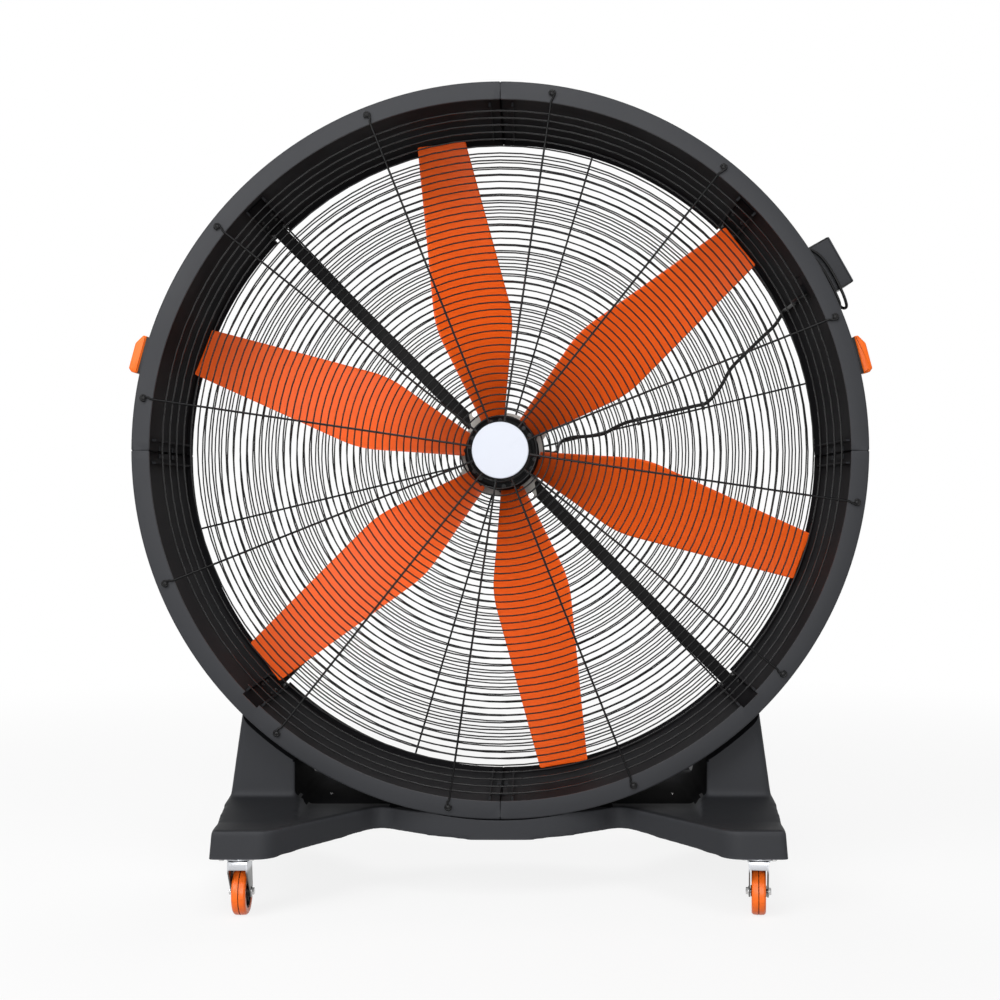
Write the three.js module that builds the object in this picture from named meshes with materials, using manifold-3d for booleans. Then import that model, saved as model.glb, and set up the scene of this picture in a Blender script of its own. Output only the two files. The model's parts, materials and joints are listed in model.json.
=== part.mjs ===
// Axial drum fan on a moulded base with four swivel casters.
// Millimetres. +X is to the right of someone who faces the blowing side, +Y runs from the blowing
// side to the intake side and +Z is up. The fan axis is parallel to Y, and the origin is on the
// floor under the middle of the drum.

import * as THREE from 'three';
import Module from 'manifold-3d';
import { mergeVertices } from 'three/addons/utils/BufferGeometryUtils.js';

const wasm = await Module();
wasm.setup();

// Shared clearance between pieces that touch on the real fan.
const CLEARANCE = 0.3;

// Drum: four moulded quarters with a flanged rim at both ends.
const DRUM_DEPTH = 450;
const BARREL_RADIUS = 806;
const BARREL_WALL = 6;
const RIM_FLANGE = 21;
const RIM_LIP = 15;
const RIM_DEPTH = 30;
const RIM_SKIN = 5;
const RIM_CHAMFER = 2.5;
const FACETS_PER_QUARTER = 12;
const SEAM_RIB_SPACING = 47;
const RIB_SETBACK = 85;
const SEAM_RIB_HEIGHT = 10;
const RIB_THICKNESS = 5;
const SEAM_FLANGE_HEIGHT = 15;
const STRUT_CHANNEL_WIDTH = 45;
const STRUT_CHANNEL_RIB_HEIGHT = 12;
const STRUT_CHANNEL_LIP_CUT = 8;

// Wire guards: one spiral wire on twelve spokes, the same part at both ends.
const GUARD_WIRE = 3.4;
const GUARD_PITCH = 16;
const GUARD_INNER_RADIUS = 66;
const GUARD_RIM_GAP = 15;
const CHORD_SAG = 12;
const SPOKE_COUNT = 12;
const SPOKE_WIRE = 5;
const SPOKE_PHASE = 21.7;
const SPOKE_INNER_RADIUS = 20;
const EYELET_RADIUS = 8;
const CENTRE_PLATE_RADIUS = 66;
const CENTRE_PLATE_THICKNESS = 3;
const BADGE_RADIUS = 63.7;
const BADGE_THICKNESS = 2.4;
const REAR_GUARD_TURN = 65.2;

// Impeller: six twisted blades on a drum-shaped hub.
const BLADE_COUNT = 6;
const BLADE_PHASE = 101.2;
const BLADE_SETBACK = 70;
const HUB_RADIUS = 89;
const HUB_SETBACK = 230;
const HUB_DEPTH = 108;
const HUB_CHAMFER = 8;
const HUB_CAP_RADIUS = 72;
const HUB_CAP_THICKNESS = 6;
const BLADE_TIP_GAP = 19;
const BLADE_SHOULDER_RADIUS = 330;
const LEADING_ROOT_WIDTH = 22;
const LEADING_SHOULDER_WIDTH = 92;
const LEADING_TIP_WIDTH = 59;
const TRAILING_ROOT_WIDTH = 35;
const TRAILING_SHOULDER_WIDTH = 100;
const TRAILING_TIP_WIDTH = 58;
const BLADE_ROOT_ANGLE = 38;
const BLADE_TIP_ANGLE = 11;
const BLADE_TWIST_POWER = 1.3;
const BLADE_CAMBER = 0.035;
const BLADE_ROOT_THICKNESS = 11;
const BLADE_TIP_THICKNESS = 5;
const BLADE_STATIONS = 7;
const HUB_FACETS = 24;

// Motor behind the impeller, on a plate that the crossed struts carry.
const MOTOR_RADIUS = 112;
const MOTOR_DEPTH = 48;
const MOTOR_WALL = 6;
const MOTOR_EAR_REACH = 132;
const MOTOR_EAR_WIDTH = 38;
const MOTOR_EAR_ANGLE = 34;
const MOTOR_HUB_GAP = 9;
const SHAFT_RADIUS = 12;
const BEARING_RADIUS = 26;
const BEARING_WIDTH = 10;
const ROTOR_RADIUS = 66;
const AIR_GAP = 1.5;
const STATOR_RADIUS = 100;
const CORE_DEPTH = 14;
const MOTOR_FACETS = 16;
const MOUNT_PLATE_SIZE = 170;
const MOUNT_PLATE_THICKNESS = 6;
const STRUT_SIZE = 32;
const STRUT_WALL = 2.5;
const STRUT_FOOT_WIDTH = 42;
const STRUT_FOOT_DEPTH = 50;
const STRUT_FOOT_THICKNESS = 5;

// Motor lead, tied to a spoke of the rear guard on its way to the control box.
const LEAD_DIAMETER = 9;
const TIE_WIDTH = 4;
const TIE_THICKNESS = 1.5;
const TIE_SHARES = [0.437, 0.649];
const TIED_SPOKE = 13.5;
const TIE_SIDE_SHIFT = 10;
const LEAD_OUTLET = 24;
const LEAD_DROP = 28;
const WINDOW_ANGLE = 28.5;
const WINDOW_WIDTH = 60;
const WINDOW_LENGTH = 70;

// Control box on the outside of the barrel.
const BOX_ANGLE = 29.5;
const BOX_LENGTH = 118;
const BOX_DEPTH = 150;
const BOX_HEIGHT = 87;
const BOX_MARGIN = 40;
const LID_THICKNESS = 4;
const KNOB_RADIUS = 17;
const KNOB_HEIGHT = 18;
const SWITCH_WIDTH = 20;
const SWITCH_HALF_LENGTH = 15;
const SWITCH_WELL = 5;
const SWITCH_PIVOT = 1;
const SWITCH_TILT = 7;
const CONTROL_SPACING = 52;
const LOOP_DIAMETER = 7;

// Side handles.
const HANDLE_ANGLE = 15;
const HANDLE_LENGTH = 160;
const HANDLE_MARGIN = 10;
const HANDLE_WIDTH = 88;
const HANDLE_POST_LENGTH = 30;
const HANDLE_STRAP = 6;
const FINGER_GAP = 34;
const GRIP_THICKNESS = 22;
const GRIP_WAIST = 44;

// Base: a hollow moulding with four feet, a saddle under the drum and two towers.
const SADDLE_HEIGHT = 44.7;
const DECK_HEIGHT = 65;
const BASE_WALL = 6;
const BASE_EDGE = 6;
const BASE_DRAFT = 8;
const ARCH_HEIGHT = 10;
const ARCH_START = 70;
const ARCH_CROWN = 210;
const FOOT_REACH = 415;
const FOOT_OUTER = 606;
const FOOT_WIDTH = 106;
const SIDE_BULGE = 16;
const WAIST_PLACE = 290;
const WAIST_REACH = 158;
const TOWER_DEPTH = 316;
const TOWER_WIDTH = 147;
const TOWER_INSET = 2;
const TOWER_LEAN = 0.15;
const TOWER_TOP = 300;
const TOWER_FILLET = 25;
const TOWER_CORNER = 18;
const CRADLE_CHAMFER = 43;

// Casters.
const WHEEL_DIAMETER = 101.6;
const WHEEL_WIDTH = 31;
const TYRE_THICKNESS = 15;
const WHEEL_FACETS = 14;
const CASTER_HEIGHT = 142.7;
const CASTER_SIDE_MARGIN = 41;
const CASTER_END_MARGIN = 75;
const CASTER_TRAIL = 28;
const CASTER_PLATE_LENGTH = 100;
const CASTER_PLATE_WIDTH = 82;
const CASTER_PLATE_THICKNESS = 3;
const RACE_RADIUS = 30;
const RACE_HEIGHT = 12;
const FORK_GAUGE = 3;
const FORK_CROWN_GAP = 8;
const AXLE_RADIUS = 5;
const AXLE_NUT_RADIUS = 8;
const AXLE_NUT_HEIGHT = 6;
const RIGHT_FRONT_YAW = -8;

// Places that follow from the sizes above.
const FULL_FACETS = 4 * FACETS_PER_QUARTER;
const FACET_FACTOR = Math.cos(Math.PI / FULL_FACETS);
const BARREL_OUTER_RADIUS = BARREL_RADIUS + BARREL_WALL;
const RIM_OUTER_RADIUS = BARREL_OUTER_RADIUS + RIM_FLANGE;
const RIM_INNER_RADIUS = BARREL_RADIUS - RIM_LIP;
const BASE_UNDERSIDE = CASTER_HEIGHT + CLEARANCE;
const DECK_TOP = BASE_UNDERSIDE + DECK_HEIGHT;
const AXIS_HEIGHT = BASE_UNDERSIDE + SADDLE_HEIGHT + CLEARANCE + RIM_OUTER_RADIUS;
const BEHIND_RIM = -DRUM_DEPTH / 2 + RIM_DEPTH;
const BOX_PLACE = BEHIND_RIM + BOX_MARGIN + BOX_DEPTH / 2;
const WINDOW_PLACE = BOX_PLACE + 2;
const HANDLE_PLACE = BEHIND_RIM + HANDLE_MARGIN + HANDLE_LENGTH / 2;
const EYELET_CIRCLE = (RIM_OUTER_RADIUS + RIM_INNER_RADIUS) / 2;
const GUARD_OUTER_RADIUS = RIM_INNER_RADIUS - GUARD_RIM_GAP;
const BLADE_TIP_RADIUS = RIM_INNER_RADIUS - BLADE_TIP_GAP;
const HUB_FRONT = DRUM_DEPTH / 2 - HUB_SETBACK;
const IMPELLER_PLANE = HUB_FRONT + BLADE_SETBACK;
const HUB_REAR = HUB_FRONT + HUB_DEPTH;
const MOTOR_FRONT = HUB_REAR + MOTOR_HUB_GAP;
const MOTOR_REAR = MOTOR_FRONT + MOTOR_DEPTH;
const PLATE_FRONT = MOTOR_REAR + CLEARANCE;
const STRUT_FRONT = PLATE_FRONT + MOUNT_PLATE_THICKNESS + CLEARANCE;
const BOX_TOP = BARREL_OUTER_RADIUS + BOX_HEIGHT;
const GRIP_INNER_RADIUS = BARREL_OUTER_RADIUS + FINGER_GAP;
const FOOT_INNER = FOOT_OUTER - FOOT_WIDTH;
const BASE_HALF_WIDTH = FOOT_OUTER + SIDE_BULGE;
const TOWER_OUTER = BASE_HALF_WIDTH - TOWER_INSET;
const TOWER_INNER = TOWER_OUTER - TOWER_WIDTH;
const CASTER_X = FOOT_OUTER - CASTER_SIDE_MARGIN;
const CASTER_Y = FOOT_REACH - CASTER_END_MARGIN;

const PLASTIC = { color: 0x34363b, roughness: 0.55, metalness: 0 };
const DARK_PLASTIC = { color: 0x1c1d20, roughness: 0.5, metalness: 0 };
const ORANGE = { color: 0xf05a1e, roughness: 0.4, metalness: 0 };
const BLACK_STEEL = { color: 0x121214, roughness: 0.4, metalness: 0.2 };
const GREY_METAL = { color: 0x9a9a98, roughness: 0.5, metalness: 0.4 };
const ZINC = { color: 0xc4c6c8, roughness: 0.25, metalness: 0.9 };
const COPPER = { color: 0xb06a35, roughness: 0.4, metalness: 0.7 };
const WHITE = { color: 0xf2f5fa, roughness: 0.3, metalness: 0 };
const CABLE = { color: 0x0e0e10, roughness: 0.6, metalness: 0 };

// ---- Small tools ----

const radians = THREE.MathUtils.degToRad;
const lerp = THREE.MathUtils.lerp;

/** Turns a closed geometry into a solid that can be joined and cut. */
function toSolid(geometry) {
  const bare = new THREE.BufferGeometry();
  bare.setAttribute('position', geometry.getAttribute('position').clone());
  bare.setIndex(geometry.getIndex());
  const merged = mergeVertices(bare, 1e-4);
  const points = merged.getAttribute('position').array;
  const source = merged.getIndex().array;
  const corners = [];
  for (let i = 0; i < source.length; i += 3) {
    const [a, b, c] = [source[i], source[i + 1], source[i + 2]];
    if (a !== b && b !== c && c !== a) corners.push(a, b, c);
  }
  if (signedVolume(points, corners) < 0) corners.reverse();
  const mesh = new wasm.Mesh({
    numProp: 3,
    vertProperties: new Float32Array(points),
    triVerts: new Uint32Array(corners),
  });
  return new wasm.Manifold(mesh);
}

/** Six times the volume that a triangle list encloses, negative where it is inside out. */
function signedVolume(points, corners) {
  const corner = (i) => new THREE.Vector3().fromArray(points, 3 * corners[i]);
  let sum = 0;
  for (let i = 0; i < corners.length; i += 3) {
    sum += corner(i).dot(corner(i + 1).cross(corner(i + 2)));
  }
  return sum;
}

/** Turns a solid back into a geometry. */
function toGeometry(solid) {
  const mesh = solid.getMesh();
  const geometry = new THREE.BufferGeometry();
  geometry.setAttribute('position', new THREE.Float32BufferAttribute(mesh.vertProperties, 3));
  geometry.setIndex(Array.from(mesh.triVerts));
  geometry.computeVertexNormals();
  return geometry;
}

const clean = (geometry) => toGeometry(toSolid(geometry));

function join(...geometries) {
  return toGeometry(geometries.map(toSolid).reduce((whole, next) => whole.add(next)));
}

function cut(body, ...tools) {
  return toGeometry(tools.map(toSolid).reduce((whole, tool) => whole.subtract(tool), toSolid(body)));
}

function common(first, second) {
  return toGeometry(toSolid(first).intersect(toSolid(second)));
}

/** A box between two corners. */
function block(x0, x1, y0, y1, z0, z1) {
  const box = new THREE.BoxGeometry(x1 - x0, y1 - y0, z1 - z0);
  return box.translate((x0 + x1) / 2, (y0 + y1) / 2, (z0 + z1) / 2);
}

/** A closed profile of [radius, y] points turned about the Y axis. */
function revolve(profile, facets) {
  return new THREE.LatheGeometry(profile.map(([radius, y]) => new THREE.Vector2(radius, y)), facets);
}

/** A disc or ring about the Y axis. */
function disc(radius, y0, y1, facets, hole = 0) {
  const edge = [[hole, y0], [radius, y0], [radius, y1], [hole, y1], [hole, y0]];
  return revolve(hole > 0 ? edge : edge.slice(0, 4), facets);
}

function shapeOf(points) {
  return new THREE.Shape(points.map(([u, v]) => new THREE.Vector2(u, v)));
}

/** A shape drawn in X and Y, with height along Z. */
function prismZ(shape, z0, z1, curveSegments = 8) {
  const options = { depth: z1 - z0, bevelEnabled: false, curveSegments };
  return new THREE.ExtrudeGeometry(shape, options).translate(0, 0, z0);
}

/** A shape drawn in X and Z, with depth along Y. */
function prismY(shape, y0, y1, curveSegments = 8) {
  return prismZ(shape, 0, y1 - y0, curveSegments).rotateX(Math.PI / 2).translate(0, y1, 0);
}

/** A shape drawn in Y and Z, with length along X. */
function prismX(shape, x0, x1) {
  const turn = new THREE.Matrix4().makeBasis(
    new THREE.Vector3(0, 1, 0), new THREE.Vector3(0, 0, 1), new THREE.Vector3(1, 0, 0));
  return prismZ(shape, 0, x1 - x0).applyMatrix4(turn).translate(x0, 0, 0);
}

/** A closed skin over a row of rings that have the same number of points. */
function loft(rings) {
  const count = rings[0].length;
  const corners = [];
  for (let row = 0; row + 1 < rings.length; row += 1) {
    for (let i = 0; i < count; i += 1) {
      const next = (i + 1) % count;
      const [a, b] = [row * count + i, row * count + next];
      corners.push(a, b, b + count, a, b + count, a + count);
    }
  }
  const last = (rings.length - 1) * count;
  for (let i = 0, j = count - 1; i + 1 < j; ) {
    corners.push(j, i + 1, i, last + i, last + i + 1, last + j);
    i += 1;
    if (i + 1 < j) {
      corners.push(j, j - 1, i, last + i, last + j - 1, last + j);
      j -= 1;
    }
  }
  const geometry = new THREE.BufferGeometry();
  const flat = rings.flat().flatMap((point) => point.toArray());
  geometry.setAttribute('position', new THREE.Float32BufferAttribute(flat, 3));
  geometry.setIndex(corners);
  return geometry;
}

/** A round cable along a smooth curve through points. */
function cable(points, diameter, steps) {
  const path = new THREE.CatmullRomCurve3(points.map((point) => new THREE.Vector3(...point)));
  const section = new THREE.Shape().absarc(0, 0, diameter / 2, 0, 2 * Math.PI);
  const options = { steps, extrudePath: path, curveSegments: 4, bevelEnabled: false };
  return new THREE.ExtrudeGeometry(section, options);
}

/** Turns a geometry built about angle 0 to an angle round the fan axis, in degrees. */
function turned(geometry, degrees) {
  return geometry.clone().rotateY(-radians(degrees));
}

/** The point at a radius, an angle in degrees, a sideways shift and a depth in the drum. */
function inDrum(radius, degrees, shift, y) {
  const angle = radians(degrees);
  return [
    radius * Math.cos(angle) - shift * Math.sin(angle), y,
    radius * Math.sin(angle) + shift * Math.cos(angle),
  ];
}

const fan = new THREE.Group();
const machine = new THREE.Group();
machine.position.z = AXIS_HEIGHT;
fan.add(machine);

function add(parent, name, geometry, look) {
  const mesh = new THREE.Mesh(clean(geometry), new THREE.MeshStandardMaterial(look));
  mesh.name = name;
  parent.add(mesh);
  return mesh;
}

// ---- Drum ----

/** Section of the drum wall with both flanged rims, as [radius, y] points. */
function drumProfile() {
  const half = DRUM_DEPTH / 2;
  const outerSkirt = RIM_OUTER_RADIUS - RIM_SKIN;
  const front = [
    [BARREL_RADIUS, -half + RIM_SKIN],
    [RIM_INNER_RADIUS, -half + RIM_SKIN],
    [RIM_INNER_RADIUS, -half],
    [RIM_OUTER_RADIUS - RIM_CHAMFER, -half],
    [RIM_OUTER_RADIUS, -half + RIM_CHAMFER],
    [RIM_OUTER_RADIUS, -half + RIM_DEPTH],
    [outerSkirt, -half + RIM_DEPTH],
    [outerSkirt, -half + RIM_SKIN],
    [BARREL_OUTER_RADIUS, -half + RIM_SKIN],
  ];
  const rear = front.map(([radius, y]) => [radius, -y]).reverse();
  return [...front, ...rear, front[0]];
}

/** Wedge that keeps the first quarter of a ring, less the gap at its two seams. */
function quarterWedge() {
  const reach = 2 * RIM_OUTER_RADIUS;
  const start = CLEARANCE / 2;
  return block(start, reach, -DRUM_DEPTH, DRUM_DEPTH, start, reach);
}

/** A rib along the drum, at an angle and a sideways shift, between two radii. */
function lengthwiseRib(degrees, shift, inner, outer, setback = RIM_SKIN / 2) {
  const half = DRUM_DEPTH / 2;
  const [near, far] = [shift - RIB_THICKNESS / 2, shift + RIB_THICKNESS / 2];
  return turned(block(inner, outer, setback - half, half - RIM_SKIN / 2, near, far), degrees);
}

/** A quarter of the drum. The strut channel notches the rear lip, and the front one too if asked. */
function drumQuarter(notchedFront) {
  const wall = BARREL_RADIUS + BARREL_WALL / 2;
  const seamShift = SEAM_RIB_SPACING / 2 + RIB_THICKNESS / 2;
  const seamInner = BARREL_RADIUS - SEAM_RIB_HEIGHT;
  const flangeShift = CLEARANCE / 2 + RIB_THICKNESS / 2;
  const channelShift = STRUT_CHANNEL_WIDTH / 2 + RIB_THICKNESS / 2;
  const channelInner = BARREL_RADIUS - STRUT_CHANNEL_RIB_HEIGHT;
  const body = join(
    common(revolve(drumProfile(), FULL_FACETS), quarterWedge()),
    lengthwiseRib(0, seamShift, seamInner, wall, RIB_SETBACK),
    lengthwiseRib(90, -seamShift, seamInner, wall, RIB_SETBACK),
    lengthwiseRib(0, flangeShift, wall, BARREL_OUTER_RADIUS + SEAM_FLANGE_HEIGHT),
    lengthwiseRib(90, -flangeShift, wall, BARREL_OUTER_RADIUS + SEAM_FLANGE_HEIGHT),
    lengthwiseRib(45, channelShift, channelInner, wall, RIB_SETBACK),
    lengthwiseRib(45, -channelShift, channelInner, wall, RIB_SETBACK),
  );
  const halfChannel = STRUT_CHANNEL_WIDTH / 2;
  const lipCut = block(
    channelInner - RIM_OUTER_RADIUS, RIM_INNER_RADIUS + STRUT_CHANNEL_LIP_CUT,
    notchedFront ? -DRUM_DEPTH : 0, DRUM_DEPTH, -halfChannel, halfChannel);
  return cut(body, turned(lipCut, 45));
}

/** Hole in the barrel under the control box, where the motor lead leaves the drum. */
function leadWindow() {
  const half = WINDOW_LENGTH / 2;
  const hole = block(
    BARREL_RADIUS - BARREL_WALL, BARREL_OUTER_RADIUS + BARREL_WALL,
    WINDOW_PLACE - half, WINDOW_PLACE + half, -WINDOW_WIDTH / 2, WINDOW_WIDTH / 2);
  return turned(hole, WINDOW_ANGLE);
}

function addDrum() {
  const [upper, lower] = [drumQuarter(false), drumQuarter(true)];
  const names = ['upper_right', 'upper_left', 'lower_left', 'lower_right'];
  const quarters = [cut(upper, leadWindow()), upper, lower, lower.clone()];
  names.forEach((name, index) => {
    const geometry = quarters[index];
    const mesh = add(machine, `drum_quarter_${name}`, geometry, PLASTIC);
    mesh.rotation.y = -radians(90 * index);
  });
}

// ---- Guards ----
// A guard is built with the rim face at y = 0 and the open air at negative y.

/** Centres of the spiral wire as [angle, radius], turning clockwise from angle 0. */
function spiralPath() {
  const path = [];
  let angle = 0;
  let radius = GUARD_INNER_RADIUS;
  while (radius < GUARD_OUTER_RADIUS) {
    path.push([angle, radius]);
    const step = 2 * Math.acos(1 - CHORD_SAG / radius);
    angle -= step;
    radius += (GUARD_PITCH * step) / (2 * Math.PI);
  }
  return path;
}

/** Radius in the middle of the gap between two turns of the spiral, nearest to a wished radius. */
function gapRadius(degrees, wished) {
  const path = spiralPath();
  const ray = radians(degrees);
  const crossings = [];
  for (let i = 0; i + 1 < path.length; i += 1) {
    const [[from, near], [to, far]] = [path[i], path[i + 1]];
    const turns = Math.floor((from - ray) / (2 * Math.PI));
    const angle = ray + turns * 2 * Math.PI;
    if (angle > to) {
      const share = (near * Math.sin(from - angle)) / (far * Math.sin(angle - to));
      crossings.push((near * Math.cos(from - angle) + share * far * Math.cos(angle - to)) / (1 + share));
    }
  }
  const gaps = crossings.slice(1).map((radius, i) => (radius + crossings[i]) / 2);
  return gaps.reduce((best, gap) => (Math.abs(gap - wished) < Math.abs(best - wished) ? gap : best));
}

function guardSpiral() {
  const half = GUARD_WIRE / 2;
  const rings = spiralPath().map(([angle, radius]) => {
    const direction = new THREE.Vector3(Math.cos(angle), 0, Math.sin(angle));
    const point = (out, y) => direction.clone().multiplyScalar(radius + out).setY(y);
    return [point(-half, 0), point(half, 0), point(0, GUARD_WIRE)];
  });
  return loft(rings);
}

/** Outline of one spoke along X with the eyelet at its outer end. */
function spokeOutline() {
  const half = SPOKE_WIRE / 2;
  const [near, far] = [EYELET_CIRCLE - EYELET_RADIUS, EYELET_CIRCLE + EYELET_RADIUS];
  const upper = [
    [SPOKE_INNER_RADIUS, half], [near, half], [EYELET_CIRCLE - half, EYELET_RADIUS], [far, half],
  ];
  return [...upper.map(([x, z]) => [x, -z]), ...upper.toReversed()];
}

function guardSpokes() {
  const back = -CLEARANCE;
  const front = back - SPOKE_WIRE;
  const plateBack = front + SPOKE_WIRE / 4;
  const star = [];
  for (let i = 0; i < SPOKE_COUNT; i += 1) {
    const angle = radians(SPOKE_PHASE + (i * 360) / SPOKE_COUNT);
    const [cos, sin] = [Math.cos(angle), Math.sin(angle)];
    star.push(...spokeOutline().map(([x, z]) => [x * cos - z * sin, x * sin + z * cos]));
  }
  const plate = disc(CENTRE_PLATE_RADIUS, plateBack - CENTRE_PLATE_THICKNESS, plateBack, 24);
  return join(prismY(shapeOf(star), front, back), plate);
}

function badge() {
  const back = -CLEARANCE - 0.75 * SPOKE_WIRE - CENTRE_PLATE_THICKNESS - CLEARANCE;
  const front = back - BADGE_THICKNESS;
  const rimFront = front + BADGE_THICKNESS / 2;
  return revolve([[0, back], [BADGE_RADIUS, back], [BADGE_RADIUS, rimFront],
    [BADGE_RADIUS - BADGE_THICKNESS, front], [0, front]], 24);
}

function addGuards() {
  const front = new THREE.Group();
  front.position.y = -DRUM_DEPTH / 2;
  const flipped = new THREE.Group();
  flipped.rotation.z = Math.PI;
  const rear = new THREE.Group();
  rear.position.y = DRUM_DEPTH / 2;
  rear.rotation.y = -radians(REAR_GUARD_TURN);
  rear.add(flipped);
  machine.add(front, rear);
  const [spiral, spokes] = [guardSpiral(), guardSpokes()];
  add(front, 'front_guard_spiral', spiral, BLACK_STEEL);
  add(front, 'front_guard_spokes', spokes, BLACK_STEEL);
  add(front, 'badge_disc', badge(), WHITE);
  add(flipped, 'rear_guard_spiral', spiral.clone(), BLACK_STEEL);
  add(flipped, 'rear_guard_spokes', spokes.clone(), BLACK_STEEL);
}

// ---- Impeller ----

/** Smaller of two values, rounded where they meet. */
function softMin(a, b, round) {
  const mix = THREE.MathUtils.clamp(0.5 + (b - a) / (2 * round), 0, 1);
  return lerp(b, a, mix) - round * mix * (1 - mix);
}

/** Half width of the blade on one side: it widens to the shoulder, then tapers to the tip. */
function bladeHalfWidth(radius, root, shoulder, tip) {
  const widening = (radius - HUB_RADIUS) / (BLADE_SHOULDER_RADIUS - HUB_RADIUS);
  const taper = (radius - BLADE_SHOULDER_RADIUS) / (BLADE_TIP_RADIUS - BLADE_SHOULDER_RADIUS);
  return softMin(lerp(root, shoulder, widening), lerp(shoulder, tip, taper), shoulder / 6);
}

/** Pitch angle of the blade at a radius, in radians. */
function bladePitch(radius) {
  const inward = (BLADE_TIP_RADIUS - radius) / (BLADE_TIP_RADIUS - HUB_RADIUS);
  return radians(lerp(BLADE_TIP_ANGLE, BLADE_ROOT_ANGLE, inward ** BLADE_TWIST_POWER));
}

/** Closed section of the blade at a radius, from the leading edge round to it again. */
function bladeSection(radius) {
  const lead = bladeHalfWidth(radius, LEADING_ROOT_WIDTH, LEADING_SHOULDER_WIDTH, LEADING_TIP_WIDTH);
  const trail = bladeHalfWidth(
    radius, TRAILING_ROOT_WIDTH, TRAILING_SHOULDER_WIDTH, TRAILING_TIP_WIDTH);
  const pitch = bladePitch(radius);
  const outward = (radius - HUB_RADIUS) / (BLADE_TIP_RADIUS - HUB_RADIUS);
  const thickness = lerp(BLADE_ROOT_THICKNESS, BLADE_TIP_THICKNESS, Math.min(1, outward));
  const camber = BLADE_CAMBER * (lead + trail);
  const point = (share, side) => {
    const across = lerp(-lead, trail, share);
    const arch = 4 * share * (1 - share);
    const half = (side * thickness * (0.35 + 0.65 * arch)) / 2;
    const middle = IMPELLER_PLANE - across * Math.tan(pitch) + camber * arch;
    return new THREE.Vector3(
      radius, middle + half * Math.cos(pitch), across + half * Math.sin(pitch));
  };
  const shares = [0, 0.3, 0.72, 1];
  return [
    ...shares.map((share) => point(share, -1)),
    ...shares.toReversed().map((share) => point(share, 1)),
  ];
}

function bladeGeometry() {
  const start = HUB_RADIUS - HUB_CHAMFER;
  const rings = [];
  for (let i = 0; i < BLADE_STATIONS; i += 1) {
    rings.push(bladeSection(lerp(start, BLADE_TIP_RADIUS, (i / (BLADE_STATIONS - 1)) ** 1.15)));
  }
  const keepOut = disc(
    HUB_RADIUS + CLEARANCE, HUB_FRONT - HUB_DEPTH, HUB_REAR + HUB_DEPTH, HUB_FACETS);
  return cut(loft(rings), keepOut);
}

function hubGeometry() {
  const capSeat = HUB_FRONT + HUB_CAP_THICKNESS;
  return revolve([
    [SHAFT_RADIUS + CLEARANCE, HUB_REAR],
    [SHAFT_RADIUS + CLEARANCE, capSeat + HUB_CAP_THICKNESS],
    [HUB_CAP_RADIUS, capSeat + HUB_CAP_THICKNESS],
    [HUB_CAP_RADIUS, HUB_FRONT],
    [HUB_RADIUS - HUB_CHAMFER, HUB_FRONT],
    [HUB_RADIUS, HUB_FRONT + HUB_CHAMFER],
    [HUB_RADIUS, HUB_REAR - HUB_CHAMFER],
    [HUB_RADIUS - HUB_CHAMFER, HUB_REAR],
    [SHAFT_RADIUS + CLEARANCE, HUB_REAR],
  ], HUB_FACETS);
}

function hubCapGeometry() {
  const back = HUB_FRONT + 2 * HUB_CAP_THICKNESS - CLEARANCE;
  const radius = HUB_CAP_RADIUS - 1.2 * CLEARANCE;
  return revolve([
    [0, back], [radius, back], [radius, HUB_FRONT - 1], [radius - 8, HUB_FRONT - HUB_CAP_THICKNESS],
    [0, HUB_FRONT - HUB_CAP_THICKNESS],
  ], HUB_FACETS);
}

function addImpeller() {
  const impeller = new THREE.Group();
  impeller.rotation.y = -radians(BLADE_PHASE);
  machine.add(impeller);
  add(impeller, 'hub', hubGeometry(), BLACK_STEEL);
  add(impeller, 'hub_cap', hubCapGeometry(), DARK_PLASTIC);
  const blade = bladeGeometry();
  for (let i = 0; i < BLADE_COUNT; i += 1) {
    const mesh = add(impeller, `blade_${i + 1}`, blade.clone(), ORANGE);
    mesh.rotation.y = radians((i * 360) / BLADE_COUNT);
  }
  const shaftFront = HUB_FRONT + 2 * HUB_CAP_THICKNESS + CLEARANCE;
  const shaftRear = MOTOR_REAR - MOTOR_WALL - CLEARANCE;
  add(impeller, 'motor_shaft', disc(SHAFT_RADIUS, shaftFront, shaftRear, MOTOR_FACETS), ZINC);
  const middle = (MOTOR_FRONT + MOTOR_REAR) / 2;
  const rotor = disc(ROTOR_RADIUS, middle - CORE_DEPTH / 2, middle + CORE_DEPTH / 2, MOTOR_FACETS,
    SHAFT_RADIUS + CLEARANCE);
  add(impeller, 'rotor_core', rotor, GREY_METAL);
}

// ---- Motor and struts ----

function motorHousing() {
  const seat = BEARING_RADIUS + CLEARANCE;
  const seatDepth = MOTOR_REAR - MOTOR_WALL - BEARING_WIDTH;
  const rearFace = MOTOR_REAR - MOTOR_WALL;
  return revolve([
    [0, MOTOR_REAR],
    [MOTOR_RADIUS - MOTOR_WALL, MOTOR_REAR],
    [MOTOR_RADIUS, MOTOR_REAR - MOTOR_WALL],
    [MOTOR_RADIUS, MOTOR_FRONT + MOTOR_WALL + CLEARANCE],
    [STATOR_RADIUS + CLEARANCE, MOTOR_FRONT + MOTOR_WALL + CLEARANCE],
    [STATOR_RADIUS + CLEARANCE, rearFace],
    [seat + MOTOR_WALL, rearFace],
    [seat + MOTOR_WALL, seatDepth],
    [seat, seatDepth],
    [seat, rearFace],
    [0, rearFace],
  ], MOTOR_FACETS);
}

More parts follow.
